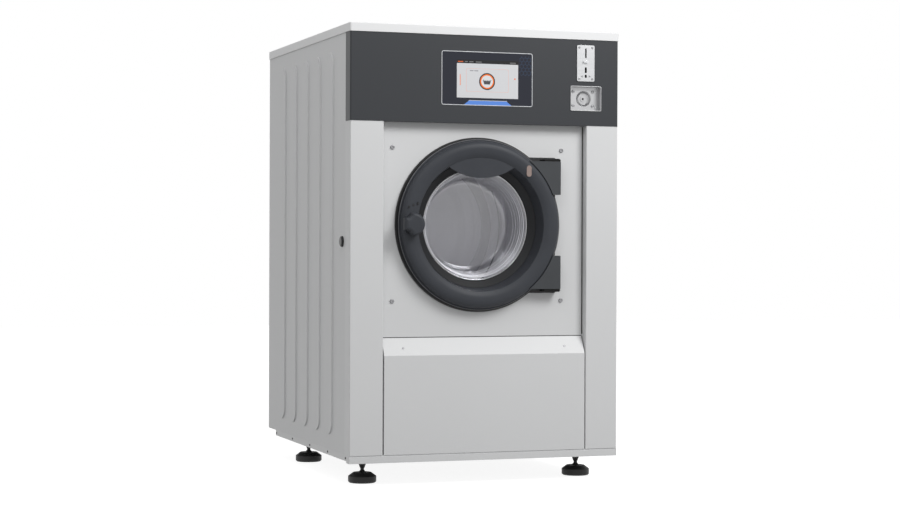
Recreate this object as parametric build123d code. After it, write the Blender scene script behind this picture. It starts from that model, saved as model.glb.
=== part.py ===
from build123d import *
import math
import os

os.makedirs("parts", exist_ok=True)

# A coin-operated washer-extractor: a sheet steel cabinet on four levelling feet, a
# suspended tub with a belt-driven drum, a round door hinged on the right, a touch screen
# and a coin unit. Millimetres, X to the right seen from the front, front face at -Y,
# Z up, origin on the floor under the middle of the cabinet.

# Cabinet
cabinet_width = 920.0
cabinet_depth = 1060.0
overall_height = 1476.0
floor_clearance = 76.0
lid_height = 28.0
header_height = 283.0
front_rail_height = 25.0
front_rail_drop = 6.0
post_width = 111.0
recess_depth = 30.0
header_proud = 1.0
sheet = 1.5
heavy_sheet = 3.0
fold_radius = 3.0
running_gap = 0.3
bore_clearance = 0.05

# Drum axis and door opening
axis_offset = 20.0
axis_height = 837.0
opening_radius = 222.0
drum_tub_gap = 37.0
drum_depth = 500.0
tub_radius = 372.0
tub_travel = 8.0

# Door ring, as radius from the drum axis and setback behind the cabinet's front face
surround_radius = 283.0
ring_radius = 277.0
ring_projection = 16.0
ring_back_setback = 18.0
lip_radius = 216.0
funnel_radius = 205.0
funnel_setback = 40.0
window_radius = 180.5
window_setback = 55.0
ring_wall = 3.5

# Places that several pieces share
half_width = cabinet_width / 2
front_y = -cabinet_depth / 2
rear_y = cabinet_depth / 2
tray_bottom_z = floor_clearance + front_rail_drop
front_bottom_z = floor_clearance + front_rail_height
side_bottom_z = front_bottom_z
lid_bottom_z = overall_height - lid_height
header_bottom_z = lid_bottom_z - header_height
header_face_y = front_y - header_proud
header_back_y = header_face_y + sheet
recess_y = front_y + recess_depth
panel_back_y = recess_y + sheet
post_inner_x = half_width - post_width
drum_radius = tub_radius - drum_tub_gap
axis_x = -axis_offset
axis_z = axis_height
overrun = 2.0


def block(x0, x1, y0, y1, z0, z1):
    """A block between two opposite corners."""
    middle = Pos((x0 + x1) / 2, (y0 + y1) / 2, (z0 + z1) / 2)
    return middle * Box(x1 - x0, y1 - y0, z1 - z0)


def rod_x(y, z, x0, x1, radius):
    """A cylinder along X."""
    return Pos((x0 + x1) / 2, y, z) * Rot(0, 90, 0) * Cylinder(radius, x1 - x0)


def rod_y(x, z, y0, y1, radius):
    """A cylinder along Y."""
    return Pos(x, (y0 + y1) / 2, z) * Rot(90, 0, 0) * Cylinder(radius, y1 - y0)


def rod_z(x, y, z0, z1, radius):
    """A cylinder along Z."""
    return Pos(x, y, (z0 + z1) / 2) * Cylinder(radius, z1 - z0)


def plate_y(sketch, x, z, y0, y1):
    """A sketch seen from the front, pulled from y0 back to y1 about the point x, z."""
    face = Plane((x, y1, z), x_dir=(1, 0, 0), z_dir=(0, -1, 0)) * sketch
    return extrude(face, y1 - y0)


def section(points, radii=None):
    """A closed face from corner points, with a rounding at each corner if radii are given."""
    if radii is None:
        return make_face(Polyline(*points, close=True))
    return make_face(FilletPolyline(*points, radius=radii, close=True))


def spun(face):
    """A section of radius against depth, spun about the drum axis."""
    return Pos(axis_x, 0, axis_z) * revolve(face, Axis.Y)


def depth(setback):
    """The place on Y of a setback behind the cabinet's front face."""
    return front_y + setback


def holes_y(places, y0, y1, radius):
    """Cutters along Y at a list of x, z places."""
    return [rod_y(x, z, y0, y1, radius) for x, z in places]


def save(name, *solids):
    """Write one sub-part: one solid, or a group of like solids."""
    shape = solids[0] if len(solids) == 1 else Compound(children=list(solids))
    export_step(shape, f"parts/{name}.step")


# Base frame: a welded tray of heavy sheet with a deeper front rail, a shadow groove under
# the posts and the lower cover, and two cross channels
base_rear_setback = 108.0
post_return = 55.0
channel_width = 90.0
channel_height = 30.0
channel_inset = 24.0
rail_return = 34.0
groove_height = 4.0
groove_depth = 2.0
foot_inset_x = 86.0
foot_front_setback = 145.0
foot_rear_setback = 245.0
foot_stem_radius = 6.0
boss_radius = 14.0
suspension_inset = 72.0
suspension_front_y = -300.0
suspension_rear_y = 100.0

side_screw_ys = [410.0, 183.0, -49.0, -276.0, -488.0]
side_screw_height = 9.5
screw_radius = 2.0

base_rear_y = rear_y - base_rear_setback
side_screw_z = tray_bottom_z + side_screw_height
tray_top_z = side_bottom_z
channel_top_z = tray_top_z + channel_height
foot_xs = [-half_width + foot_inset_x, half_width - foot_inset_x]
foot_ys = [front_y + foot_front_setback, rear_y - foot_rear_setback]
suspension_spread = tub_radius - suspension_inset
suspension_xs = [axis_x - suspension_spread, axis_x + suspension_spread]
suspension_ys = [suspension_front_y, suspension_rear_y]


def make_base_frame():
    tray = block(-half_width, half_width, front_y, base_rear_y, tray_bottom_z, tray_top_z)
    tray -= block(
        -half_width + heavy_sheet, half_width - heavy_sheet,
        front_y + heavy_sheet, base_rear_y - heavy_sheet,
        tray_bottom_z - overrun, tray_top_z - heavy_sheet)
    rail = block(
        -half_width, half_width, front_y, front_y + rail_return, floor_clearance, tray_top_z)
    rail -= block(
        -half_width + heavy_sheet, half_width - heavy_sheet,
        front_y + heavy_sheet, front_y + rail_return + overrun,
        floor_clearance - overrun, tray_top_z + overrun)
    frame = tray + rail
    frame -= block(
        -half_width - overrun, half_width + overrun, front_y - overrun,
        front_y + groove_depth, front_bottom_z - groove_height, front_bottom_z + overrun)
    for y in suspension_ys:
        channel = block(
            -half_width + channel_inset, half_width - channel_inset,
            y - channel_width / 2, y + channel_width / 2, tray_top_z, channel_top_z)
        channel -= block(
            -half_width + channel_inset - overrun, half_width - channel_inset + overrun,
            y - channel_width / 2 + heavy_sheet, y + channel_width / 2 - heavy_sheet,
            tray_top_z - overrun, channel_top_z - heavy_sheet)
        frame += channel
    for x in foot_xs:
        for y in foot_ys:
            frame += rod_z(x, y, floor_clearance, tray_top_z, boss_radius)
            frame -= rod_z(
                x, y, floor_clearance - overrun, channel_top_z + overrun,
                foot_stem_radius + bore_clearance)
    for y in side_screw_ys:
        frame -= rod_x(
            y, side_screw_z, -half_width - overrun, half_width + overrun, screw_radius)
    return frame


# Levelling feet: a rubber-soled pad with a tapered collar on a threaded stem, locked by
# a long nut that flares from its tip up to the base
pad_radius = 46.0
pad_flat_radius = 30.0
pad_height = 33.0
pad_side_height = 21.0
pad_sole_round = 4.0
collar_radius = 12.5
collar_height = 8.0
stem_reach = 18.0
nut_radius = 12.0
nut_tip_radius = 7.4
nut_length = 29.0
nut_taper = 12.0


def make_foot(x, y):
    stem_top_z = tray_top_z + stem_reach
    outline = section([
        (0, 0),
        (pad_radius - pad_sole_round, 0),
        (pad_radius, pad_sole_round),
        (pad_radius, pad_side_height),
        (pad_flat_radius, pad_height),
        (collar_radius, pad_height),
        (foot_stem_radius, pad_height + collar_height),
        (foot_stem_radius, stem_top_z),
        (0, stem_top_z)])
    return Pos(x, y, 0) * revolve(Plane.XZ * outline, Axis.Z)


def make_foot_nut(x, y):
    tip_z = floor_clearance - nut_length
    outline = section([
        (foot_stem_radius + bore_clearance, tip_z),
        (nut_tip_radius, tip_z),
        (nut_radius, tip_z + nut_taper),
        (nut_radius, floor_clearance),
        (foot_stem_radius + bore_clearance, floor_clearance)])
    return Pos(x, y, 0) * revolve(Plane.XZ * outline, Axis.Z)


# Side panels: trays of sheet steel with five pressed ribs, a return flange all round, and
# on the left one the hole of the emergency release plug
side_flange = 20.0
rib_count = 5
rib_pitch = 155.0
rib_width = 82.0
rib_height = 4.0
rib_draft = 20.0
rib_bottom_z = 151.0
rib_top_z = 1398.0
rib_middle_y = 18.0
plug_setback = 87.0
plug_height = 781.0
plug_stem_radius = 11.0

side_front_y = front_y + post_return
side_rear_y = rear_y - sheet
plug_y = front_y + plug_setback


def pressed_rib(y, width, base_x, height):
    """A rounded vertical rib with sloping sides, raised to the right of base_x."""
    outline = SlotOverall(rib_top_z - rib_bottom_z, width, rotation=90)
    place = Plane((base_x, y, (rib_top_z + rib_bottom_z) / 2), x_dir=(0, 1, 0), z_dir=(1, 0, 0))
    return extrude(place * outline, height, taper=rib_draft)


def make_side_panel(plug_hole):
    """The right-hand panel, or, mirrored, the left-hand one."""
    panel = block(
        half_width - side_flange, half_width, side_front_y, side_rear_y,
        side_bottom_z, lid_bottom_z)
    panel -= block(
        half_width - side_flange - overrun, half_width - sheet,
        side_front_y + sheet, side_rear_y - sheet,
        side_bottom_z + sheet, lid_bottom_z - sheet)
    for index in range(rib_count):
        y = rib_middle_y + (index - (rib_count - 1) / 2) * rib_pitch
        panel += pressed_rib(y, rib_width, half_width, rib_height)
        panel -= pressed_rib(y, rib_width - 2 * sheet, half_width - sheet, rib_height)
    if plug_hole:
        panel -= rod_x(
            plug_y, plug_height, half_width - side_flange, half_width + overrun,
            plug_stem_radius + running_gap)
    return panel


# Release plug: a domed black button that is pulled out to free the door by hand
plug_head_radius = 17.5
plug_head_height = 7.0
plug_stem_length = 16.0
plug_dome_share = 0.7


def make_release_plug():
    head = rod_x(
        plug_y, plug_height, -half_width - plug_head_height, -half_width, plug_head_radius)
    head = fillet(head.edges().sort_by(Axis.X)[:1], plug_head_height * plug_dome_share)
    stem = rod_x(
        plug_y, plug_height, -half_width, -half_width + plug_stem_length, plug_stem_radius)
    return head + stem


# Front posts: folded sheet, standing on the base rail each side of the recess
def make_front_post():
    """The right-hand post, or, mirrored, the left-hand one."""
    post = block(
        post_inner_x, half_width, front_y, front_y + post_return,
        front_bottom_z, header_bottom_z)
    post = fillet(
        post.edges().filter_by(Axis.Z).sort_by(Axis.Y)[:2], fold_radius)
    hollow = block(
        post_inner_x + sheet, half_width - sheet, front_y + sheet,
        front_y + post_return + overrun, front_bottom_z - overrun, header_bottom_z + overrun)
    post -= fillet(
        hollow.edges().filter_by(Axis.Z).sort_by(Axis.Y)[:2], fold_radius - sheet)
    return post


# Screen: a touch panel in a bright frame, set in the header
screen_width = 313.0
screen_height = 174.0
screen_rise = 57.0
screen_corner_radius = 7.0
screen_frame_width = 2.0
screen_frame_proud = 1.5
screen_frame_depth = 14.0
screen_flange = 8.0
screen_glass_proud = 1.0
screen_glass_thickness = 4.0
module_width = 250.0
module_height = 140.0
module_depth = 26.0

screen_z = header_bottom_z + screen_rise + screen_height / 2

# Coin plate and its holes
coin_edge = 116.0
coin_plate_rise = 205.5
coin_plate_width = 62.0
coin_plate_height = 119.0
coin_plate_thickness = 3.0
coin_plate_corner = 5.0
coin_slot_width = 5.0
coin_slot_height = 32.0
coin_slot_rise = 33.0
return_slot_width = 7.0
return_slot_height = 19.0
return_slot_drop = 22.5
return_eye_width = 7.0
return_eye_height = 11.0
return_eye_drop = 42.5
lever_rise = 4.0
lever_offset = 4.0
lever_boss_radius = 4.5
lever_shaft_radius = 2.5
lever_arm_length = 14.0
lever_arm_width = 5.0
lever_projection = 6.0
lever_shaft_depth = 7.0
lever_round_share = 0.45
acceptor_width = 56.0
acceptor_height = 112.0
acceptor_depth = 62.0
plate_screw_inset = 8.0
screw_head_radius = 3.6
screw_head_height = 1.6
screw_length = 9.0
drive_share = 1.2
drive_width_share = 0.3

coin_x = half_width - coin_edge
coin_plate_z = header_bottom_z + coin_plate_rise
lever_x = coin_x + lever_offset
lever_z = coin_plate_z + lever_rise
plate_screw_places = [
    (coin_x + sx * (coin_plate_width / 2 - plate_screw_inset),
     coin_plate_z + sz * (coin_plate_height / 2 - plate_screw_inset))
    for sx in (-1, 1) for sz in (-1, 1)]

# Coin box: a steel sleeve through the header with a locked drawer set back in its mouth
vault_edge = 114.5
vault_rise = 90.0
vault_width = 109.0
vault_height = 82.0
vault_wall = 2.0
vault_depth = 190.0
vault_proud = 2.0
vault_flange = 7.0
vault_corner = 4.0
drawer_recess = 20.0
drawer_front_thickness = 10.0
drawer_length = 150.0
drawer_wall = 1.5
cup_radius = 26.0
cup_floor_radius = 19.0
cup_depth = 7.0
lock_radius = 9.5
lock_length = 30.0
lock_proud = 1.5
key_hole_radius = 3.0
key_hole_depth = 6.0
cam_length = 40.6
cam_width = 10.0
cam_thickness = 3.0
cam_slot_half = 15.0
rivet_inset = 11.0

vault_x = half_width - vault_edge
vault_z = header_bottom_z + vault_rise
drawer_y = header_face_y + drawer_recess
cam_y = drawer_y + lock_length - cam_thickness
coin_drop_y0 = header_face_y + acceptor_depth - coin_slot_height
coin_drop_y1 = header_face_y + acceptor_depth - coin_slot_height / 2
rivet_places = [
    (vault_x + sx * (vault_width / 2 - rivet_inset),
     vault_z + sz * (vault_height / 2 - rivet_inset))
    for sx in (-1, 1) for sz in (-1, 1)]


# Header: a dark folded panel across the full width, with the screen and coin openings
header_return = 50.0
header_corner_radius = 5.0
header_flange = recess_depth + header_proud


def make_header():
    x0 = half_width + header_proud
    y0 = front_y - header_proud
    header = block(-x0, x0, y0, front_y + header_return, header_bottom_z, lid_bottom_z)
    header = fillet(
        header.edges().filter_by(Axis.Z).sort_by(Axis.Y)[:2], header_corner_radius)
    hollow = block(
        -x0 + sheet, x0 - sheet, y0 + sheet, front_y + header_return + overrun,
        header_bottom_z + sheet, lid_bottom_z - sheet)
    header -= fillet(
        hollow.edges().filter_by(Axis.Z).sort_by(Axis.Y)[:2], header_corner_radius - sheet)
    for z0, z1 in ((header_bottom_z, header_bottom_z + sheet),
                   (lid_bottom_z - sheet, lid_bottom_z)):
        header -= block(
            -x0 + post_width, x0 - post_width, y0 + header_flange,
            front_y + header_return + overrun, z0 - overrun, z1 + overrun)
    screen_hole = RectangleRounded(screen_width, screen_height, screen_corner_radius)
    vault_hole = RectangleRounded(vault_width, vault_height, vault_corner)
    acceptor_hole = Rectangle(acceptor_width, acceptor_height)
    y1 = front_y + header_return
    header -= plate_y(screen_hole, 0, screen_z, y0 - overrun, y1)
    header -= plate_y(vault_hole, vault_x, vault_z, y0 - overrun, y1)
    header -= plate_y(acceptor_hole, coin_x, coin_plate_z, y0 - overrun, y1)
    return header


def make_screen_frame():
    """The bright frame with a flange that clamps it behind the header."""
    outer = RectangleRounded(screen_width, screen_height, screen_corner_radius)
    flange = RectangleRounded(
        screen_width + 2 * screen_flange, screen_height + 2 * screen_flange,
        screen_corner_radius + screen_flange)
    inner = RectangleRounded(
        screen_width - 2 * screen_frame_width, screen_height - 2 * screen_frame_width,
        screen_corner_radius - screen_frame_width)
    y0 = header_face_y - screen_frame_proud
    frame = plate_y(outer, 0, screen_z, y0, y0 + screen_frame_depth)
    frame += plate_y(flange, 0, screen_z, header_back_y, header_back_y + screen_frame_width)
    frame -= plate_y(inner, 0, screen_z, y0 - overrun, y0 + screen_frame_depth + overrun)
    return frame


def make_touch_screen():
    """Cover glass with the display module bonded behind it."""
    glass = RectangleRounded(
        screen_width - 2 * screen_frame_width, screen_height - 2 * screen_frame_width,
        screen_corner_radius - screen_frame_width)
    y0 = header_face_y - screen_glass_proud
    y1 = y0 + screen_glass_thickness
    screen = plate_y(glass, 0, screen_z, y0, y1)
    screen += plate_y(Rectangle(module_width, module_height), 0, screen_z, y1, y1 + module_depth)
    return screen


def make_coin_plate():
    outline = RectangleRounded(coin_plate_width, coin_plate_height, coin_plate_corner)
    y0 = header_face_y - coin_plate_thickness
    plate = plate_y(outline, coin_x, coin_plate_z, y0, header_face_y)
    entry = SlotOverall(coin_slot_height, coin_slot_width, rotation=90)
    plate -= plate_y(
        entry, coin_x, coin_plate_z + coin_slot_rise, y0 - overrun, header_face_y + overrun)
    exit_slot = SlotOverall(return_slot_height, return_slot_width, rotation=90)
    plate -= plate_y(
        exit_slot, coin_x, coin_plate_z - return_slot_drop, y0 - overrun,
        header_face_y + overrun)
    eye = SlotOverall(return_eye_height, return_eye_width, rotation=90)
    plate -= plate_y(
        eye, coin_x, coin_plate_z - return_eye_drop, y0 - overrun, header_face_y + overrun)
    plate -= rod_y(
        lever_x, lever_z, y0 - overrun, header_face_y + overrun,
        lever_shaft_radius + bore_clearance)
    for x, z in plate_screw_places:
        plate -= rod_y(x, z, y0 - overrun, header_face_y + overrun, screw_radius)
    return plate


def make_coin_acceptor():
    """The coin checking unit behind the plate, with the coin's path cut through it."""
    y1 = header_face_y + acceptor_depth
    body = block(
        coin_x - acceptor_width / 2, coin_x + acceptor_width / 2, header_face_y, y1,
        coin_plate_z - acceptor_height / 2, coin_plate_z + acceptor_height / 2)
    entry_z = coin_plate_z + coin_slot_rise + coin_slot_height / 2
    channel_y = y1 - coin_slot_height / 2
    body -= block(
        coin_x - coin_slot_width / 2, coin_x + coin_slot_width / 2,
        header_face_y - overrun, channel_y,
        coin_plate_z - acceptor_height / 2 - overrun, entry_z)
    body -= rod_y(
        lever_x, lever_z, header_face_y - overrun,
        header_face_y + lever_shaft_depth + running_gap, lever_shaft_radius + bore_clearance)
    for x, z in plate_screw_places:
        body -= rod_y(x, z, header_face_y - overrun, header_face_y + screw_length, screw_radius)
    return body


def make_coin_lever():
    """The coin return lever: an arm on a short shaft through the plate."""
    plate_y0 = header_face_y - coin_plate_thickness
    y0 = plate_y0 - running_gap - lever_projection
    y1 = plate_y0 - running_gap
    lever = rod_y(lever_x, lever_z, y0, y1, lever_boss_radius)
    lever += rod_y(
        lever_x, lever_z, y1, header_face_y + lever_shaft_depth, lever_shaft_radius)
    arm = block(
        lever_x - lever_arm_length, lever_x, y0, y1 - lever_projection / 2,
        lever_z - lever_arm_width / 2, lever_z + lever_arm_width / 2)
    arm = fillet(
        arm.edges().filter_by(Axis.Y).sort_by(Axis.X)[:2], lever_arm_width * lever_round_share)
    return lever + arm


def pan_screw(x, y, z, tilt=0):
    """A small pan head screw whose head stands in front of the face at y."""
    head = Pos(0, -screw_head_height / 2, 0) * Rot(90, 0, 0) * Cylinder(
        screw_head_radius, screw_head_height)
    head = fillet(head.edges().sort_by(Axis.Y)[:1], screw_head_height / 2)
    head -= Pos(0, -screw_head_height, 0) * Box(
        screw_head_radius * drive_share, screw_head_height, screw_head_radius * drive_width_share)
    head -= Pos(0, -screw_head_height, 0) * Box(
        screw_head_radius * drive_width_share, screw_head_height, screw_head_radius * drive_share)
    shank = Pos(0, screw_length / 2, 0) * Rot(90, 0, 0) * Cylinder(screw_radius, screw_length)
    return Pos(x, y, z) * Rot(tilt, 0, 0) * (head + shank)


def make_coin_box_frame():
    outer = RectangleRounded(vault_width, vault_height, vault_corner)
    flange = RectangleRounded(
        vault_width + 2 * vault_flange, vault_height + 2 * vault_flange, vault_corner)
    inner = RectangleRounded(
        vault_width - 2 * vault_wall, vault_height - 2 * vault_wall, vault_corner - vault_wall)
    y0 = header_face_y - vault_proud
    frame = plate_y(outer, vault_x, vault_z, y0, y0 + vault_depth)
    frame += plate_y(flange, vault_x, vault_z, header_back_y, header_back_y + vault_wall)
    frame -= plate_y(inner, vault_x, vault_z, y0 - overrun, y0 + vault_depth - vault_wall)
    top_z = vault_z + vault_height / 2
    frame -= block(
        vault_x - cam_slot_half, vault_x + cam_slot_half, cam_y - cam_thickness,
        cam_y + 2 * cam_thickness, top_z - vault_wall - overrun, top_z + overrun)
    frame -= block(
        coin_x - coin_slot_width, coin_x + coin_slot_width, coin_drop_y0, coin_drop_y1,
        top_z - vault_wall - overrun, top_z + overrun)
    return frame


def make_coin_drawer():
    """The drawer front with its dished lock cup, and the coin tray behind it."""
    width = vault_width - 2 * vault_wall - 2 * running_gap
    height = vault_height - 2 * vault_wall - 2 * running_gap
    y1 = drawer_y + drawer_front_thickness
    front = plate_y(
        RectangleRounded(width, height, vault_corner - vault_wall), vault_x, vault_z,
        drawer_y, y1)
    cup = section([
        (0, -overrun),
        (cup_radius, -overrun),
        (cup_radius, 0),
        (cup_floor_radius, cup_depth),
        (0, cup_depth)])
    front -= Pos(vault_x, drawer_y, vault_z) * revolve(cup, Axis.Y)
    front -= rod_y(vault_x, vault_z, drawer_y, y1 + overrun, lock_radius + bore_clearance)
    for x, z in rivet_places:
        rivet = rod_y(x, z, drawer_y - screw_head_height, drawer_y, screw_head_radius)
        front += fillet(rivet.edges().sort_by(Axis.Y)[:1], screw_head_height / 2)
    x0 = vault_x - width / 2
    x1 = vault_x + width / 2
    z0 = vault_z - height / 2
    tray = block(x0, x1, y1, y1 + drawer_length, z0, vault_z - lock_radius)
    tray = fillet(
        tray.edges().filter_by(Axis.Y).sort_by(Axis.Z)[:2], vault_corner - vault_wall)
    tray -= block(
        x0 + drawer_wall, x1 - drawer_wall, y1, y1 + drawer_length - drawer_wall,
        z0 + drawer_wall, vault_z)
    return front + tray


def make_coin_lock():
    """Lock cylinder with its key hole, and the cam that catches the sleeve's slot."""
    cup_floor_y = drawer_y + cup_depth
    lock = rod_y(
        vault_x, vault_z, cup_floor_y - lock_proud, drawer_y + lock_length, lock_radius)
    lock -= rod_y(
        vault_x, vault_z, cup_floor_y - lock_proud - overrun,
        cup_floor_y - lock_proud + key_hole_depth, key_hole_radius)
    cam = block(
        vault_x - cam_length, vault_x, cam_y, cam_y + cam_thickness,
        vault_z - cam_width / 2, vault_z + cam_width / 2)
    return lock + cam


# Recessed door panel with the round opening, the latch slot and the hinge slots
hinge_x = 246.0
hinge_setback = 0.0
hinge_pin_radius = 5.0
block_right_x = 255.0
block_height = 109.0
hinge_spread = 154.0
block_front_setback = -12.0
block_back_setback = 14.0
lug_thickness = 6.0
lug_left_x = 196.0
lug_front_setback = -10.0
lug_end_margin = 8.5
ear_margin = 7.0
ear_reach = 2.0
surround_thickness = 6.0
knob_distance = 240.0
slot_height = 40.0
slot_width = 24.0
bolt_left_inset = 38.0
bolt_right_inset = 78.0
bolt_spread_z = 246.5
bolt_head_radius = 7.0
bolt_head_height = 4.0
bolt_shank_radius = 4.0
bolt_length = 14.0
panel_top_rise = 24.0
panel_flange = 18.0
lower_cover_top_z = 473.0

hinge_y = depth(hinge_setback)
knob_x = axis_x - knob_distance
knob_z = axis_z
lug_right_x = hinge_x + lug_end_margin
block_centre_zs = [axis_z + hinge_spread, axis_z - hinge_spread]
bolt_places = [
    (x, axis_z + sz * bolt_spread_z)
    for x in (bolt_left_inset - post_inner_x, post_inner_x - bolt_right_inset)
    for sz in (-1, 1)]


def lug_span(side):
    """Lowest and highest point of the hinge lug above (1) or below (-1) the door."""
    near = axis_z + side * (hinge_spread + block_height / 2 + running_gap)
    far = near + side * lug_thickness
    return min(near, far), max(near, far)


def lug_slot(side, y0, y1):
    z0, z1 = lug_span(side)
    return block(
        lug_left_x - running_gap, lug_right_x + running_gap, y0, y1,
        z0 - running_gap, z1 + running_gap)


def make_door_panel():
    panel = block(
        -post_inner_x, post_inner_x, recess_y, recess_y + panel_flange,
        lower_cover_top_z, header_bottom_z + panel_top_rise)
    panel -= block(
        -post_inner_x + sheet, post_inner_x - sheet, panel_back_y,
        recess_y + panel_flange + overrun,
        lower_cover_top_z + sheet, header_bottom_z + panel_top_rise + overrun)
    y0 = recess_y - overrun
    y1 = panel_back_y + overrun
    panel -= rod_y(axis_x, axis_z, y0, y1, opening_radius)
    panel -= block(
        knob_x - slot_width / 2, knob_x + slot_width / 2, y0, y1,
        knob_z - slot_height / 2, knob_z + slot_height / 2)
    for side in (1, -1):
        panel -= lug_slot(side, y0, y1)
    for cutter in holes_y(bolt_places, y0, y1, bolt_shank_radius):
        panel -= cutter
    return panel


def make_panel_bolt(x, z):
    bolt = rod_y(x, z, recess_y - bolt_head_height, recess_y, bolt_head_radius)
    bolt = fillet(bolt.edges().sort_by(Axis.Y)[:1], bolt_head_height / 2)
    bolt -= plate_y(
        RegularPolygon(bolt_shank_radius, 6), x, z,
        recess_y - bolt_head_height - overrun, recess_y - bolt_head_height / 2)
    bolt += rod_y(x, z, recess_y, recess_y + bolt_length, bolt_shank_radius)
    return bolt


def make_door_surround():
    """The flat black ring on the panel round the opening, with the hinge side squared off."""
    y0 = recess_y - surround_thickness
    ring = rod_y(axis_x, axis_z, y0, recess_y, surround_radius)
    ear_half = hinge_spread + block_height / 2 + running_gap + lug_thickness + ear_margin
    ring += block(
        axis_x, hinge_x + ear_reach, y0, recess_y, axis_z - ear_half, axis_z + ear_half)
    ring -= rod_y(axis_x, axis_z, y0 - overrun, recess_y + overrun, opening_radius)
    ring -= block(
        knob_x - slot_width / 2, knob_x + slot_width / 2, y0 - overrun, recess_y + overrun,
        knob_z - slot_height / 2, knob_z + slot_height / 2)
    for side in (1, -1):
        ring -= lug_slot(side, y0 - overrun, recess_y + overrun)
    return ring


# Hinges: a steel lug above and below the door, welded to a plate behind the panel, and a
# pin through each lug into the door's hinge arm
hinge_plate_thickness = 4.0
hinge_plate_width = 72.0
hinge_plate_height = 96.0
pin_head_radius = 8.0
pin_head_height = 3.0
pin_length = 62.0


def make_hinge_bracket(side):
    z0, z1 = lug_span(side)
    bracket = block(
        lug_left_x, lug_right_x, depth(lug_front_setback), panel_back_y, z0, z1)
    bracket = fillet(
        bracket.edges().filter_by(Axis.Z).sort_by(Axis.Y)[:2], lug_thickness / 2)
    middle_x = (lug_left_x + lug_right_x) / 2
    bracket += block(
        middle_x - hinge_plate_width / 2, middle_x + hinge_plate_width / 2,
        panel_back_y, panel_back_y + hinge_plate_thickness,
        (z0 + z1) / 2 - hinge_plate_height / 2, (z0 + z1) / 2 + hinge_plate_height / 2)
    bracket -= rod_z(hinge_x, hinge_y, z0 - overrun, z1 + overrun, hinge_pin_radius)
    return bracket


def make_hinge_pin(side):
    z0, z1 = lug_span(side)
    if side > 0:
        head = rod_z(hinge_x, hinge_y, z1, z1 + pin_head_height, pin_head_radius)
        return head + rod_z(hinge_x, hinge_y, z1 - pin_length, z1, hinge_pin_radius)
    head = rod_z(hinge_x, hinge_y, z0 - pin_head_height, z0, pin_head_radius)
    return head + rod_z(hinge_x, hinge_y, z0, z0 + pin_length, hinge_pin_radius)


# Door ring: a hollow moulded ring with a gently domed face, a conical funnel to the window
# and a flange round its back edge
lip_setback = -7.0
brow_radius = 230.0
brow_setback = -14.5
crown_radius = 250.0
shoulder_radius = 262.0
shoulder_setback = -12.0
crease_radius = 269.5
crease_setback = -3.0
waist_radius = 271.5
corner_break = 0.5
lip_round = 2.0
brow_round = 40.0
crown_round = 30.0
shoulder_round = 16.0
crease_round = 8.0
flange_thickness = 7.5
flange_front_round = 1.5
flange_back_round = 4.0
foot_wall = 5.5
boss_radius_on_ring = 34.0
boss_proud = 4.0
boss_length = 30.0
spindle_radius = 8.0
indicator_x = 141.5
indicator_z = 1012.5
indicator_width = 17.0
indicator_height = 37.0
indicator_thickness = 8.0
indicator_setback = -15.0

crown_y = depth(-ring_projection)
boss_face_y = crown_y - boss_proud
ring_back_y = depth(ring_back_setback)
lip_y = depth(lip_setback)
funnel_end_y = depth(funnel_setback)


def funnel_wall(y):
    """Radius of the funnel's cone at a given place along the door's axis."""
    return lip_radius + (funnel_radius - lip_radius) * (y - lip_y) / (funnel_end_y - lip_y)


def ring_envelope():
    """The door ring's outer outline, closed straight across its back."""
    return section(
        [(funnel_wall(ring_back_y), ring_back_y),
         (lip_radius, lip_y),
         (brow_radius, depth(brow_setback)),
         (crown_radius, crown_y),
         (shoulder_radius, depth(shoulder_setback)),
         (crease_radius, depth(crease_setback)),
         (waist_radius, ring_back_y)],
        [corner_break, lip_round, brow_round, crown_round, shoulder_round, crease_round,
         corner_break])


def ring_flange():
    """The flange round the ring's back edge."""
    flange_y = ring_back_y - flange_thickness
    root = waist_radius - ring_wall / 2
    return section(
        [(root, ring_back_y), (ring_radius, ring_back_y), (ring_radius, flange_y),
         (root, flange_y)],
        [corner_break, flange_back_round, flange_front_round, corner_break])


def indicator_outline():
    return SlotOverall(indicator_height, indicator_width, rotation=90)


def make_door_ring():
    envelope = ring_envelope()
    hollow = offset(envelope, -ring_wall)
    hollow += section([
        (funnel_wall(ring_back_y) + foot_wall, ring_back_y - 2 * ring_wall),
        (waist_radius - foot_wall, ring_back_y - 2 * ring_wall),
        (waist_radius - foot_wall, ring_back_y + overrun),
        (funnel_wall(ring_back_y) + foot_wall, ring_back_y + overrun)])
    leg_y = ring_back_y - 2 * ring_wall
    leg = section([
        (funnel_wall(leg_y), leg_y),
        (funnel_wall(leg_y) + ring_wall, leg_y),
        (funnel_radius + ring_wall, funnel_end_y),
        (funnel_radius, funnel_end_y)])
    ring = spun(envelope - hollow + leg) + spun(ring_flange())
    boss = rod_y(knob_x, knob_z, boss_face_y, boss_face_y + boss_length, boss_radius_on_ring)
    boss &= rod_y(axis_x, axis_z, boss_face_y, boss_face_y + boss_length, shoulder_radius)
    ring += boss
    ring -= rod_y(
        knob_x, knob_z, boss_face_y - overrun, boss_face_y + boss_length + overrun,
        spindle_radius + bore_clearance)
    ring -= plate_y(
        indicator_outline(), indicator_x, indicator_z, crown_y - overrun,
        depth(indicator_setback) + indicator_thickness + ring_wall)
    return ring


def make_door_indicator():
    return plate_y(
        indicator_outline(), indicator_x, indicator_z, depth(indicator_setback),
        depth(indicator_setback) + indicator_thickness)


# Window: a black trim ring in the end of the funnel, the glass bowl, and the back ring
# whose collar clamps the glass
back_plate_thickness = 3.0
back_plate_margin = 5.0
collar_wall = 3.5
trim_lead = 3.0
trim_edge = 2.5
glass_thickness = 8.0
glass_rim_gap = 0.5
glass_neck_radius = 181.0
glass_bottom_radius = 152.0
glass_depth = 112.0
glass_round = 22.0
clamp_thickness = 3.5
clamp_lip = 2.0

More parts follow.
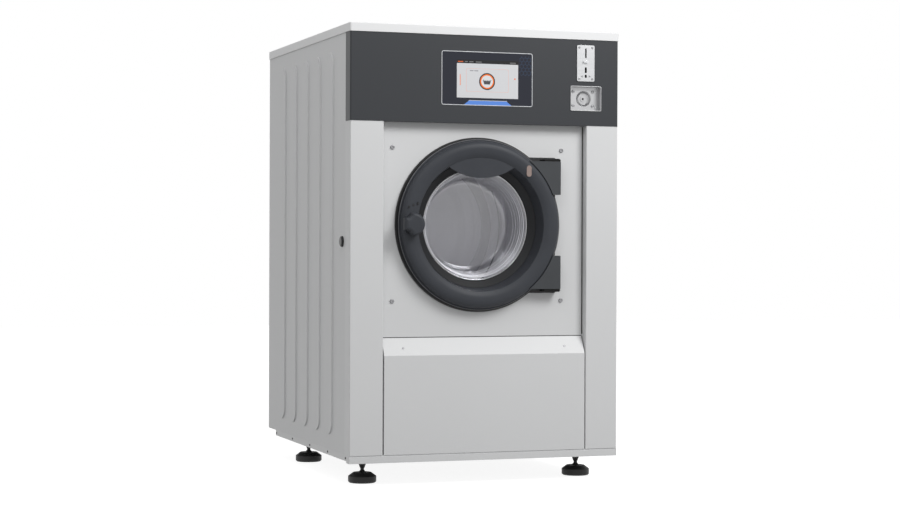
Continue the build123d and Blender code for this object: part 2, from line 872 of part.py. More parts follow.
collar_radius_inside = funnel_radius + ring_wall + running_gap
glass_front_y = depth(window_setback)
glass_back_y = glass_front_y + glass_thickness
glass_bottom_y = glass_front_y + glass_depth
clamp_back_y = glass_back_y + clamp_thickness
latch_hole_radius = spindle_radius + running_gap


def make_door_back_ring():
    mouth_radius = funnel_wall(ring_back_y) + ring_wall + running_gap
    outline = section([
        (mouth_radius, ring_back_y),
        (ring_radius - back_plate_margin, ring_back_y),
        (ring_radius - back_plate_margin, ring_back_y + back_plate_thickness),
        (mouth_radius + collar_wall, ring_back_y + back_plate_thickness),
        (collar_radius_inside + collar_wall, funnel_end_y),
        (collar_radius_inside + collar_wall, clamp_back_y),
        (glass_neck_radius + clamp_lip, clamp_back_y),
        (glass_neck_radius + clamp_lip, glass_back_y),
        (collar_radius_inside, glass_back_y),
        (collar_radius_inside, funnel_end_y)])
    ring = spun(outline)
    ring -= rod_y(
        knob_x, knob_z, ring_back_y - overrun, ring_back_y + back_plate_thickness + overrun,
        latch_hole_radius)
    return ring


def make_door_trim_ring():
    return spun(section([
        (funnel_radius - running_gap, funnel_end_y - trim_lead),
        (window_radius, glass_front_y - trim_edge),
        (window_radius, glass_front_y),
        (collar_radius_inside, glass_front_y),
        (collar_radius_inside, funnel_end_y),
        (funnel_radius - running_gap, funnel_end_y)]))


def make_door_glass():
    inside_y = glass_bottom_y - glass_thickness
    rim_radius = collar_radius_inside - glass_rim_gap
    profile = section([
        (0, inside_y),
        (glass_bottom_radius - glass_thickness, inside_y),
        (glass_neck_radius - glass_thickness, glass_front_y),
        (rim_radius, glass_front_y),
        (rim_radius, glass_back_y),
        (glass_neck_radius, glass_back_y),
        (glass_bottom_radius, glass_bottom_y),
        (0, glass_bottom_y)],
        [corner_break, glass_round - glass_thickness, glass_thickness / 2, corner_break,
         corner_break, corner_break, glass_round, corner_break])
    profile += section([
        (0, inside_y),
        (glass_round, inside_y),
        (glass_round, glass_bottom_y),
        (0, glass_bottom_y)])
    return spun(profile)


# Visor: a lens-shaped plate across the top of the window, cut to fit the ring
visor_setback = -7.0
visor_thickness = 4.0
visor_drop = 151.0
visor_arc_radius = 197.5


def make_visor(ring_solid):
    y0 = depth(visor_setback)
    y1 = y0 + visor_thickness
    plate = rod_y(axis_x, axis_z, y0, y1, lip_radius + ring_wall)
    plate &= rod_y(axis_x, axis_z + visor_drop + visor_arc_radius, y0, y1, visor_arc_radius)
    return plate - ring_solid


# Hinge arms: two blocks seated on the ring's outer wall, each bored for its pin
arm_left_x = 96.0
arm_round = 4.0


def make_hinge_arm(side, ring_solid):
    z0 = axis_z + side * hinge_spread - block_height / 2
    z1 = axis_z + side * hinge_spread + block_height / 2
    arm = block(
        arm_left_x, block_right_x, depth(block_front_setback), depth(block_back_setback),
        z0, z1)
    arm = fillet(arm.edges().sort_by(Axis.X)[-4:], arm_round)
    arm -= ring_solid
    arm -= rod_y(
        axis_x, axis_z, depth(block_front_setback) - overrun,
        depth(block_back_setback) + overrun, crease_radius - ring_wall)
    outer_z = z1 if side > 0 else z0
    bore_end = outer_z - side * pin_length
    arm -= rod_z(
        hinge_x, hinge_y, min(outer_z, bore_end) - overrun, max(outer_z, bore_end) + overrun,
        hinge_pin_radius + bore_clearance)
    return arm


# Door lock: a box behind the panel that the hook turns in
lock_box_half = 19.5
lock_box_wall = 2.0
lock_box_half_height = 40.0
lock_cavity_half_height = 22.0
lock_box_depth = 42.0


def make_door_lock():
    y1 = panel_back_y + lock_box_depth
    body = block(
        knob_x - lock_box_half - lock_box_wall, knob_x + lock_box_half + lock_box_wall,
        panel_back_y, y1, knob_z - lock_box_half_height, knob_z + lock_box_half_height)
    body -= block(
        knob_x - lock_box_half, knob_x + lock_box_half, panel_back_y + lock_box_wall,
        y1 - lock_box_wall, knob_z - lock_cavity_half_height,
        knob_z + lock_cavity_half_height)
    body -= block(
        knob_x - slot_width / 2, knob_x + slot_width / 2, panel_back_y - overrun,
        panel_back_y + lock_box_wall + overrun, knob_z - slot_height / 2,
        knob_z + slot_height / 2)
    return body


# Knob: a round hub with a flared grip pointing left, and the spindle with its latch hook
knob_gap = 0.3
hub_radius = 36.0
knob_depth = 32.0
grip_reach = 31.0
grip_half_height = 19.0
flare_x = 6.0
flare_sag = 5.0
knob_round = 11.0
hook_play = 3.0
hook_thickness = 10.0
hook_height = 34.0
hook_width = 8.0

knob_back_y = boss_face_y - knob_gap
knob_front_y = knob_back_y - knob_depth


def knob_outline():
    """Seen from the front: round on the right, drawn in to a blunt grip on the left."""
    flare_z = math.sqrt(hub_radius ** 2 - flare_x ** 2)
    middle_x = -(grip_reach + flare_x) / 2 + flare_sag / 2
    middle_z = (flare_z + grip_half_height) / 2 - flare_sag
    upper = ThreePointArc(
        (-flare_x, flare_z), (middle_x, middle_z), (-grip_reach, grip_half_height))
    end = Line((-grip_reach, grip_half_height), (-grip_reach, -grip_half_height))
    lower = ThreePointArc(
        (-grip_reach, -grip_half_height), (middle_x, -middle_z), (-flare_x, -flare_z))
    hub = ThreePointArc((-flare_x, -flare_z), (hub_radius, 0), (-flare_x, flare_z))
    return make_face([upper, end, lower, hub])


def make_door_knob():
    knob = plate_y(knob_outline(), knob_x, knob_z, knob_front_y, knob_back_y)
    return fillet(knob.faces().sort_by(Axis.Y)[0].edges(), knob_round)


def make_latch_hook():
    hook_y = panel_back_y + lock_box_wall + hook_play
    hook = rod_y(knob_x, knob_z, knob_back_y, hook_y, spindle_radius)
    hook += block(
        knob_x - hook_width / 2, knob_x + hook_width / 2, hook_y, hook_y + hook_thickness,
        knob_z - hook_height / 2, knob_z + hook_height / 2)
    return hook


# Lower cover: flat face with a slanted band leaning back to the recess
lower_cover_gap = 4.0
lower_cover_fold_z = 417.0
lower_cover_return = 20.0
cover_screw_inset = 67.0
cover_screw_share = 0.42

lower_cover_half = post_inner_x - lower_cover_gap
cover_screw_x = lower_cover_half - cover_screw_inset
band_rise = lower_cover_top_z - lower_cover_fold_z
band_tilt = math.degrees(math.atan2(recess_depth, band_rise))
band_screw_y = front_y + recess_depth * cover_screw_share
band_screw_z = lower_cover_fold_z + band_rise * cover_screw_share


def make_lower_cover():
    back_y = recess_y + lower_cover_return
    outline = Polyline(
        (front_y, front_bottom_z), (front_y, lower_cover_fold_z),
        (recess_y, lower_cover_top_z), (back_y, lower_cover_top_z),
        (back_y, front_bottom_z), close=True)
    face = Plane.YZ * make_face(outline)
    cover = Pos(-lower_cover_half, 0, 0) * extrude(face, 2 * lower_cover_half)
    slope = sheet * math.tan(math.radians(band_tilt))
    hollow_outline = Polyline(
        (front_y + sheet, front_bottom_z + sheet),
        (front_y + sheet, lower_cover_fold_z - slope),
        (recess_y + sheet, lower_cover_top_z - slope - sheet),
        (back_y + overrun, lower_cover_top_z - slope - sheet),
        (back_y + overrun, front_bottom_z + sheet), close=True)
    inner_half = lower_cover_half - sheet
    hollow_face = Plane.YZ * make_face(hollow_outline)
    cover -= Pos(-inner_half, 0, 0) * extrude(hollow_face, 2 * inner_half)
    for side in (1, -1):
        shank = Rot(90, 0, 0) * Cylinder(screw_radius, 2 * screw_length)
        cover -= Pos(side * cover_screw_x, band_screw_y, band_screw_z) * Rot(
            -band_tilt, 0, 0) * shank
    return cover


# Lid: a shallow folded tray turned over the cabinet
lid_overhang = 3.0
lid_corner = 6.0
lid_edge = 3.0


def make_top_cover():
    x0 = half_width + lid_overhang
    y0 = front_y - lid_overhang
    y1 = rear_y + lid_overhang
    lid = block(-x0, x0, y0, y1, lid_bottom_z, overall_height)
    lid = fillet(lid.edges().filter_by(Axis.Z), lid_corner)
    lid = fillet(lid.faces().sort_by(Axis.Z)[-1].edges(), lid_edge)
    lid -= block(
        -x0 + lid_edge, x0 - lid_edge, y0 + lid_edge, y1 - lid_edge,
        lid_bottom_z + sheet, overall_height - sheet)
    lid -= block(
        -half_width + side_flange, half_width - side_flange, front_y + header_return,
        rear_y - side_flange, lid_bottom_z - overrun, lid_bottom_z + 2 * sheet)
    return lid


# Rear panel with its louvres, the opening behind the access cover, and the service holes
access_half_width = 230.0
access_bottom_z = 540.0
access_top_drop = 328.0
access_margin = 15.0
access_screw_shares = [0.05, 0.5, 0.95]
louvre_count = 7
louvre_pitch = 26.0
louvre_width = 120.0
louvre_height = 8.0
louvre_x = 300.0
louvre_bottom_z = 210.0
inlet_drop = 198.0
inlet_edges = [280.0, 210.0, 140.0]
inlet_radius = 13.2
inlet_length = 32.0
gland_edge = 160.0
gland_drop = 248.0
gland_thread_radius = 16.0
drain_rise = 67.0
drain_radius = 38.0
drain_reach = 52.3
drain_wall = 4.0
drain_step = 2.0
drain_seat = 2.0

access_top_z = lid_bottom_z - access_top_drop
inlet_z = lid_bottom_z - inlet_drop
inlet_xs = [half_width - edge for edge in inlet_edges]
gland_x = gland_edge - half_width
gland_z = lid_bottom_z - gland_drop
drain_z = side_bottom_z + drain_rise
access_height = access_top_z - access_bottom_z
access_screw_places = [
    (sx * (access_half_width - access_margin / 2), access_bottom_z + share * access_height)
    for sx in (-1, 1) for share in access_screw_shares]


def make_rear_panel():
    panel = block(-half_width, half_width, side_rear_y, rear_y, side_bottom_z, lid_bottom_z)
    y0 = side_rear_y - overrun
    y1 = rear_y + overrun
    panel -= block(
        -access_half_width + access_margin, access_half_width - access_margin, y0, y1,
        access_bottom_z + access_margin, access_top_z - access_margin)
    for side in (1, -1):
        for index in range(louvre_count):
            z = louvre_bottom_z + index * louvre_pitch
            panel -= plate_y(
                SlotOverall(louvre_width, louvre_height), side * louvre_x, z, y0, y1)
    for x in inlet_xs:
        panel -= rod_y(x, inlet_z, y0, y1, inlet_radius + running_gap)
    panel -= rod_y(gland_x, gland_z, y0, y1, gland_thread_radius + running_gap)
    panel -= rod_y(drain_x, drain_z, y0, y1, drain_radius + running_gap)
    for x, z in access_screw_places:
        panel -= rod_y(x, z, y0, y1, screw_radius)
    return panel


def make_rear_access_cover():
    cover = block(
        -access_half_width, access_half_width, rear_y, rear_y + sheet,
        access_bottom_z, access_top_z)
    cover = fillet(cover.edges().filter_by(Axis.Y), fold_radius)
    for x, z in access_screw_places:
        cover -= rod_y(x, z, rear_y - overrun, rear_y + sheet + overrun, screw_radius)
    return cover


# Water inlets, mains gland and drain
valve_width = 40.0
valve_height = 54.0
valve_depth = 58.0
valve_outlet_radius = 9.0
valve_outlet_drop = 30.0
thread_relief = 1.6
gland_hex_radius = 21.0
gland_hex_depth = 8.0
gland_dome_radius = 15.0
gland_dome_length = 20.0
gland_inside = 14.0
gland_bore_radius = 7.0
drain_body_half = 52.0
drain_y = -40.0
drain_hose_wall = 3.0
drain_rib_height = 5.0
drain_ribs = 9
rib_inner_share = 0.9
drain_spigot_overlap = 16.0
drain_actuator = 44.0
sump_drop = 24.0

drain_x = axis_x
drain_top_z = drain_z + drain_body_half + drain_spigot_overlap


def make_inlet_valve(x):
    y0 = side_rear_y - valve_depth
    body = block(
        x - valve_width / 2, x + valve_width / 2, y0, side_rear_y,
        inlet_z - valve_height / 2, inlet_z + valve_height / 2)
    body += rod_y(x, inlet_z, side_rear_y, rear_y + inlet_length, inlet_radius - thread_relief)
    body += rod_y(
        x, inlet_z, rear_y + 2 * thread_relief, rear_y + inlet_length - thread_relief,
        inlet_radius)
    body -= rod_y(
        x, inlet_z, side_rear_y, rear_y + inlet_length + overrun,
        inlet_radius - thread_relief - heavy_sheet)
    middle_y = y0 + valve_depth / 2
    body += rod_z(
        x, middle_y, inlet_z - valve_height / 2 - valve_outlet_drop, inlet_z,
        valve_outlet_radius)
    return body


def make_mains_gland():
    hexagon = plate_y(
        RegularPolygon(gland_hex_radius, 6), gland_x, gland_z, rear_y, rear_y + gland_hex_depth)
    dome_y0 = rear_y + gland_hex_depth
    dome = rod_y(gland_x, gland_z, dome_y0, dome_y0 + gland_dome_length, gland_dome_radius)
    dome = fillet(dome.edges().sort_by(Axis.Y)[-1:], gland_dome_radius / 3)
    thread = rod_y(
        gland_x, gland_z, side_rear_y - gland_inside, rear_y, gland_thread_radius)
    nut = plate_y(
        RegularPolygon(gland_hex_radius, 6), gland_x, gland_z,
        side_rear_y - gland_hex_depth, side_rear_y)
    gland = hexagon + dome + thread + nut
    return gland - rod_y(
        gland_x, gland_z, side_rear_y - gland_inside - overrun,
        dome_y0 + gland_dome_length + overrun, gland_bore_radius)


def make_drain_valve():
    """Valve body with its actuator, and the outlet moulded on it that leaves at the back."""
    half = drain_body_half
    body = block(
        drain_x - half, drain_x + half, drain_y - half, drain_y + half,
        side_bottom_z, drain_z + half)
    body += rod_z(drain_x, drain_y, drain_z, drain_top_z, drain_radius)
    body += block(
        drain_x - half - drain_actuator, drain_x - half, drain_y - drain_actuator,
        drain_y + drain_actuator, side_bottom_z, drain_z + half / 2)
    body += rod_y(drain_x, drain_z, drain_y, rear_y + drain_seat, drain_radius - drain_step)
    body += rod_y(
        drain_x, drain_z, rear_y + drain_seat, rear_y + drain_reach, drain_radius)
    body -= rod_z(
        drain_x, drain_y, drain_z, drain_top_z + overrun, drain_radius - drain_wall)
    return body - rod_y(
        drain_x, drain_z, drain_y, rear_y + drain_reach + overrun, drain_radius - drain_wall)


def make_drain_hose():
    """A ribbed rubber hose from the tub's sump down to the drain valve."""
    inner = drain_radius + running_gap
    outer = inner + drain_hose_wall
    z0 = drain_top_z - drain_spigot_overlap
    z1 = sump_bottom_z + drain_spigot_overlap
    pitch = (z1 - z0) / (2 * drain_ribs + 1)
    left = []
    right = []
    for index in range(2 * drain_ribs + 2):
        swell = drain_rib_height if index % 2 and index < 2 * drain_ribs else 0
        left.append((inner + swell * rib_inner_share, z0 + index * pitch))
        right.append((outer + swell, z0 + index * pitch))
    profile = section(left + right[::-1])
    return Pos(drain_x, drain_y, 0) * revolve(Plane.XZ * profile, Axis.Z)


# Tub: a steel shell with welded front wall and collar, legs, motor cradle, fill neck and
# sump
tub_wall = 3.0
tub_front_setback = 118.0
tub_end_thickness = 5.0
drum_front_gap = 20.0
spider_space = 66.0
tub_collar_radius = 202.0
tub_collar_length = 22.0
leg_width = 80.0
leg_thickness = 8.0
leg_foot = 90.0
leg_foot_thickness = 6.0
leg_foot_z = 424.0
fill_offset_x = 80.0
fill_y = 100.0
fill_radius = 22.0
fill_wall = 2.0
fill_top_gap = 26.0
motor_x = 130.0
motor_z = 385.0
motor_radius = 85.0
motor_length = 250.0
motor_front_y = 20.0
cradle_thickness = 10.0
cradle_shares = [0.12, 0.56]

tub_front_y = depth(tub_front_setback)
drum_front_y = tub_front_y + tub_end_thickness + drum_front_gap
drum_back_y = drum_front_y + drum_depth
tub_back_y = drum_back_y + spider_space
sump_bottom_z = axis_z - tub_radius - sump_drop
fill_x = axis_x + fill_offset_x
tub_top_z = axis_z + tub_radius


def make_outer_tub():
    tub = rod_y(axis_x, axis_z, tub_front_y + tub_end_thickness, tub_back_y, tub_radius)
    leg_base_z = leg_foot_z + leg_foot_thickness
    for x in suspension_xs:
        for y in suspension_ys:
            tub += block(
                x - leg_width / 2, x + leg_width / 2, y - leg_thickness / 2,
                y + leg_thickness / 2, leg_base_z, axis_z)
            tub += block(
                x - leg_foot / 2, x + leg_foot / 2, y - leg_foot / 2, y + leg_foot / 2,
                leg_foot_z, leg_base_z)
    for share in cradle_shares:
        y = motor_front_y + motor_length * share
        tub += block(
            motor_x - motor_radius, motor_x + motor_radius, y - cradle_thickness / 2,
            y + cradle_thickness / 2, motor_z, axis_z - tub_radius / 2)
    tub -= rod_y(
        motor_x, motor_z, motor_front_y - overrun, motor_front_y + motor_length + overrun,
        motor_radius)
    tub += rod_z(drain_x, drain_y, sump_bottom_z, axis_z - tub_radius / 2, drain_radius)
    tub += rod_z(
        fill_x, fill_y, axis_z + tub_radius / 2, tub_top_z + fill_top_gap,
        fill_radius)
    tub -= rod_z(
        fill_x, fill_y, axis_z, tub_top_z + fill_top_gap + overrun,
        fill_radius - fill_wall)
    tub -= rod_z(
        drain_x, drain_y, sump_bottom_z - overrun, axis_z, drain_radius - drain_wall)
    tub -= rod_y(
        axis_x, axis_z, tub_front_y, tub_back_y + overrun, tub_radius - tub_wall)
    front_back_y = tub_front_y + tub_end_thickness
    tub += rod_y(axis_x, axis_z, tub_front_y, front_back_y, tub_radius)
    tub += rod_y(
        axis_x, axis_z, tub_front_y - tub_collar_length, front_back_y, tub_collar_radius)
    return tub - rod_y(
        axis_x, axis_z, tub_front_y - tub_collar_length - overrun, front_back_y + overrun,
        tub_collar_radius - tub_wall)


# Bearing housing on the tub's back, with two bearings for the drum shaft
shaft_radius = 30.0
bearing_radius = 50.0
bearing_width = 30.0
housing_radius = 66.0
housing_length = 118.0
housing_front_wall = 10.0
housing_rib_count = 8
housing_rib_reach = 250.0
housing_rib_thickness = 10.0
housing_rib_share = 0.7
seal_gap = 0.6

housing_back_y = tub_back_y + housing_length
front_bearing_y = tub_back_y + housing_front_wall
rear_bearing_y = housing_back_y - bearing_width


def make_tub_back():
    back = rod_y(
        axis_x, axis_z, tub_back_y, tub_back_y + tub_end_thickness, tub_radius)
    back += rod_y(axis_x, axis_z, tub_back_y, housing_back_y, housing_radius)
    rib_profile = Polyline(
        (0, tub_back_y), (housing_rib_reach, tub_back_y),
        (housing_rib_reach, tub_back_y + 2 * tub_end_thickness),
        (housing_radius, tub_back_y + housing_length * housing_rib_share),
        (0, tub_back_y + housing_length * housing_rib_share), close=True)
    rib = extrude(make_face(rib_profile), housing_rib_thickness / 2, both=True)
    for index in range(housing_rib_count):
        angle = 360 * index / housing_rib_count
        back += Pos(axis_x, 0, axis_z) * Rot(0, angle, 0) * rib
    back -= rod_y(
        axis_x, axis_z, tub_back_y - overrun, housing_back_y + overrun,
        shaft_radius + seal_gap)
    return back - rod_y(
        axis_x, axis_z, front_bearing_y, housing_back_y + overrun, bearing_radius)


def make_bearing(y0):
    bearing = rod_y(axis_x, axis_z, y0, y0 + bearing_width, bearing_radius)
    return bearing - rod_y(
        axis_x, axis_z, y0 - overrun, y0 + bearing_width + overrun,
        shaft_radius + bore_clearance)


# Gasket on the tub's collar, with its throat round the glass bowl
gasket_wall = 4.0
gasket_front_setback = 84.0
gasket_sleeve_length = 16.0
gasket_shoulder = 12.0

gasket_throat_radius = glass_neck_radius + tub_travel


def make_tub_gasket():
    seat = tub_collar_radius + running_gap
    front_gasket_y = depth(gasket_front_setback)
    sleeve_end_y = tub_front_y - tub_collar_length + gasket_sleeve_length
    return spun(section([
        (seat, sleeve_end_y),
        (seat + gasket_wall, sleeve_end_y),
        (seat + gasket_wall, front_gasket_y + gasket_shoulder - gasket_wall),
        (seat + gasket_wall - gasket_shoulder, front_gasket_y),
        (gasket_throat_radius, front_gasket_y),
        (gasket_throat_radius, front_gasket_y + gasket_wall),
        (seat - gasket_shoulder + gasket_wall / 2, front_gasket_y + gasket_wall),
        (seat, front_gasket_y + gasket_shoulder - gasket_wall / 2)]))


# Drum: a perforated stainless shell with three lifters, on a three-armed spider
drum_wall = 1.5
mouth_radius = 190.0
mouth_lip = 8.0
pressing_radius = 228.0
pressing_foot_radius = 277.0
pressing_height = 22.0
drum_hole_radius = 4.0
drum_hole_columns = 36
drum_hole_rows = 9
lifter_count = 3
lifter_width = 84.0
lifter_height = 62.0
lifter_top_width = 26.0
lifter_end_gap = 14.0
lifter_wall = 3.0
spider_arm_width = 70.0
spider_arm_depth = 46.0
spider_hub_radius = 64.0
spider_reach = 318.0
shaft_end_gap = 12.0
lifter_round_share = 0.8
lifter_turn_share = 0.5
arm_tip_share = 0.35


def make_drum_shell():
    shell = spun(section([
        (mouth_radius, drum_front_y - mouth_lip),
        (mouth_radius + drum_wall, drum_front_y - mouth_lip),
        (mouth_radius + drum_wall, drum_front_y),
        (drum_radius, drum_front_y),
        (drum_radius, drum_back_y),
        (pressing_foot_radius, drum_back_y),
        (pressing_radius, drum_back_y - pressing_height),
        (0, drum_back_y - pressing_height),
        (0, drum_back_y - pressing_height - drum_wall),
        (pressing_radius, drum_back_y - pressing_height - drum_wall),
        (pressing_foot_radius, drum_back_y - drum_wall),
        (drum_radius - drum_wall, drum_back_y - drum_wall),
        (drum_radius - drum_wall, drum_front_y + drum_wall),
        (mouth_radius, drum_front_y + drum_wall)]))
    step = drum_depth / (drum_hole_rows + 1)
    cutters = []
    for column in range(drum_hole_columns):
        angle = 360 * column / drum_hole_columns
        for row in range(drum_hole_rows):
            y = drum_front_y + (row + 1) * step
            cutter = rod_z(
                0, y, drum_radius - drum_wall - overrun, drum_radius + overrun,
                drum_hole_radius)
            cutters.append(Pos(axis_x, 0, axis_z) * Rot(0, angle, 0) * cutter)
    return shell - cutters


def make_lifter(index):
    """A hollow lifter folded from sheet, open towards the shell that it is fixed to."""
    half = lifter_width / 2
    top_half = lifter_top_width / 2
    top_radius = drum_radius - drum_wall - lifter_height
    profile = Polyline(
        (-half, drum_radius), (half, drum_radius), (top_half, top_radius),
        (-top_half, top_radius), close=True)
    face = Plane((0, drum_back_y - lifter_end_gap, 0), x_dir=(1, 0, 0), z_dir=(0, -1, 0))
    bar = extrude(face * make_face(profile), drum_depth - 2 * lifter_end_gap)
    bar = fillet(bar.edges().filter_by(Axis.Y).sort_by(Axis.Z)[:2], top_half * lifter_round_share)
    hollow_profile = Polyline(
        (-half + lifter_wall, drum_radius), (half - lifter_wall, drum_radius),
        (top_half - lifter_wall, top_radius + lifter_wall),
        (-top_half + lifter_wall, top_radius + lifter_wall), close=True)
    hollow_face = Plane(
        (0, drum_back_y - lifter_end_gap - lifter_wall, 0), x_dir=(1, 0, 0), z_dir=(0, -1, 0))
    bar -= extrude(
        hollow_face * make_face(hollow_profile), drum_depth - 2 * (lifter_end_gap + lifter_wall))
    bar &= rod_y(0, 0, drum_front_y, drum_back_y, drum_radius - drum_wall)
    angle = 360 * (index + lifter_turn_share) / lifter_count
    return Pos(axis_x, 0, axis_z) * Rot(0, angle, 0) * bar


def make_drum_spider():
    arm_back_y = drum_back_y + spider_arm_depth
    spider = rod_y(axis_x, axis_z, drum_back_y, arm_back_y, spider_hub_radius)
    arm_profile = Polyline(
        (0, drum_back_y), (spider_reach, drum_back_y),
        (spider_reach, drum_back_y + spider_arm_depth * arm_tip_share),
        (spider_hub_radius, arm_back_y), (0, arm_back_y), close=True)
    arm = extrude(make_face(arm_profile), spider_arm_width / 2, both=True)
    for index in range(lifter_count):
        angle = 360 * index / lifter_count - 90
        spider += Pos(axis_x, 0, axis_z) * Rot(0, angle, 0) * arm
    return spider + rod_y(axis_x, axis_z, drum_back_y, pulley_back_y + shaft_end_gap, shaft_radius)


# Belt drive: large pulley on the drum shaft, small one on the motor shaft, one flat belt
pulley_radius = 190.0
pulley_width = 40.0
pulley_rim = 12.0
pulley_web = 6.0
pulley_hub_radius = 46.0
pulley_gap = 20.0
pulley_window_count = 6
pulley_window_radius = 42.0
pulley_window_place = 112.0
pulley_flange = 6.0
motor_pulley_radius = 38.0
motor_shaft_radius = 12.0
belt_width = 30.0
belt_thickness = 5.0
motor_cap_depth = 28.0
motor_cap_step = 8.0
motor_fins = 20
motor_fin_height = 6.0

pulley_front_y = housing_back_y + pulley_gap
pulley_back_y = pulley_front_y + pulley_width
motor_back_y = motor_front_y + motor_length
belt_y0 = pulley_front_y + (pulley_width - belt_width) / 2
belt_y1 = belt_y0 + belt_width


def make_drum_pulley():
    pulley = rod_y(axis_x, axis_z, pulley_front_y, pulley_back_y, pulley_radius)
    pulley -= rod_y(
        axis_x, axis_z, pulley_front_y - overrun, pulley_front_y + pulley_width / 2
        - pulley_web / 2, pulley_radius - pulley_rim)
    pulley -= rod_y(
        axis_x, axis_z, pulley_front_y + pulley_width / 2 + pulley_web / 2,
        pulley_back_y + overrun, pulley_radius - pulley_rim)
    pulley += rod_y(axis_x, axis_z, pulley_front_y, pulley_back_y, pulley_hub_radius)
    for index in range(pulley_window_count):
        angle = 2 * math.pi * index / pulley_window_count
        pulley -= rod_y(
            axis_x + pulley_window_place * math.cos(angle),
            axis_z + pulley_window_place * math.sin(angle),
            pulley_front_y - overrun, pulley_back_y + overrun, pulley_window_radius)
    return pulley - rod_y(
        axis_x, axis_z, pulley_front_y - overrun, pulley_back_y + overrun, shaft_radius)


def make_motor_body():
    core = motor_radius - motor_fin_height
    body = rod_y(motor_x, motor_z, motor_front_y, motor_back_y, core)
    for y0 in (motor_front_y, motor_back_y - motor_cap_depth):
        body += rod_y(motor_x, motor_z, y0, y0 + motor_cap_depth, motor_radius)
    for share in cradle_shares:
        y = motor_front_y + motor_length * share
        body += rod_y(
            motor_x, motor_z, y - cradle_thickness, y + cradle_thickness, motor_radius)
    for index in range(motor_fins):
        fin = block(
            0, motor_radius - corner_break, motor_front_y + motor_cap_depth / 2,
            motor_back_y - motor_cap_depth / 2, -motor_fin_height / 4, motor_fin_height / 4)
        body += Pos(motor_x, 0, motor_z) * Rot(0, 360 * index / motor_fins, 0) * fin
    return body - rod_y(
        motor_x, motor_z, motor_front_y - overrun, motor_back_y + overrun,
        motor_shaft_radius + bore_clearance)


def make_motor_rotor():
    rotor = rod_y(
        motor_x, motor_z, motor_front_y, pulley_back_y + shaft_end_gap, motor_shaft_radius)
    rotor += rod_y(motor_x, motor_z, pulley_front_y, pulley_back_y, motor_pulley_radius)
    for y0 in (pulley_front_y - heavy_sheet, pulley_back_y):
        rotor += rod_y(
            motor_x, motor_z, y0, y0 + heavy_sheet,
            motor_pulley_radius + belt_thickness + pulley_flange)
    return rotor


def belt_outline(extra):
    """The belt's path round both pulleys, at a given distance outside their rims."""
    big = Pos(axis_x, axis_z) * Circle(pulley_radius + extra)
    small = Pos(motor_x, motor_z) * Circle(motor_pulley_radius + extra)
    return make_hull(big.edges() + small.edges())


def make_drive_belt():
    loop = belt_outline(running_gap + belt_thickness) - belt_outline(running_gap)
    return plate_y(loop, 0, 0, belt_y0, belt_y1)


# Suspension: a coil spring round a damper under each leg of the tub
spring_radius = 30.0
spring_wire_radius = 4.5
spring_turns = 7
damper_radius = 20.0
damper_height = 175.0
damper_rod_radius = 6.0
damper_floor = 20.0
damper_rod_gap = 50.0


def make_spring(x, y):
    z0 = channel_top_z + spring_wire_radius + running_gap
    z1 = leg_foot_z - spring_wire_radius - running_gap
    path = Helix((z1 - z0) / spring_turns, z1 - z0, spring_radius)
    wire = Plane(path @ 0, z_dir=path % 0) * Circle(spring_wire_radius)
    return Pos(x, y, z0) * sweep(wire, path, is_frenet=True)


def make_damper_cylinder(x, y):
    cylinder = rod_z(x, y, channel_top_z, channel_top_z + damper_height, damper_radius)
    return cylinder - rod_z(
        x, y, channel_top_z + damper_floor, channel_top_z + damper_height + overrun,
        damper_rod_radius + bore_clearance)


def make_damper_rod(x, y):
    return rod_z(x, y, channel_top_z + damper_rod_gap, leg_foot_z, damper_rod_radius)


# Control box on the left wall, and the hose that fills the tub through its neck
control_width = 150.0
control_front_setback = 90.0
control_length = 320.0
control_drop = 258.0
control_height = 220.0
control_lid = 6.0
hose_radius = 11.0
hose_dip = 14.0
hose_rise = 46.0
hose_bend = 26.0

control_bottom_z = lid_bottom_z - control_drop


def make_control_box():
    x0 = -half_width + sheet
    x1 = x0 + control_width
    y0 = depth(control_front_setback)
    y1 = y0 + control_length
    z1 = control_bottom_z + control_height
    box = block(x0, x1, y0, y1, control_bottom_z, z1)
    box += block(
        x1, x1 + control_lid, y0 + control_lid, y1 - control_lid,
        control_bottom_z + control_lid, z1 - control_lid)
    return box


def make_fill_hose():
    """From the foot of the nearest valve across to a point inside the tub's fill neck."""
    valve_y = side_rear_y - valve_depth / 2
    valve_z = inlet_z - valve_height / 2 - valve_outlet_drop
    low_z = valve_z - hose_rise
    high_z = tub_top_z + fill_top_gap + hose_rise
    first_x = inlet_xs[0]
    path = FilletPolyline(
        (first_x, valve_y, valve_z),
        (first_x, valve_y, low_z),
        (fill_x, valve_y, low_z),
        (fill_x, valve_y, high_z),
        (fill_x, fill_y, high_z),
        (fill_x, fill_y, tub_top_z + fill_top_gap - hose_dip),
        radius=hose_bend)
    face = Plane(path @ 0, z_dir=path % 0) * Circle(hose_radius)
    return sweep(face, path)


# Every sub-part, written to its own file
def save_all():
    save("base_frame", make_base_frame())
    post = make_front_post()
    save("right_front_post", post)
    save("left_front_post", mirror(post, Plane.YZ))
    save("right_side_panel", make_side_panel(False))
    save("left_side_panel", mirror(make_side_panel(True), Plane.YZ))
    save("rear_panel", make_rear_panel())
    save("rear_access_cover", make_rear_access_cover())
    save("top_cover", make_top_cover())
    save("header_panel", make_header())
    save("door_panel", make_door_panel())
    save("lower_cover", make_lower_cover())
    save("foot_lock_nuts", *[make_foot_nut(x, y) for x in foot_xs for y in foot_ys])
    for side, x in zip(("left", "right"), foot_xs):
        for end, y in zip(("front", "rear"), foot_ys):
            save(f"foot_{end}_{side}", make_foot(x, y))
    save("release_plug", make_release_plug())
    save_fasteners()
    save_front_units()
    save_door()
    save_services()
    save_tub()
    save_drum()


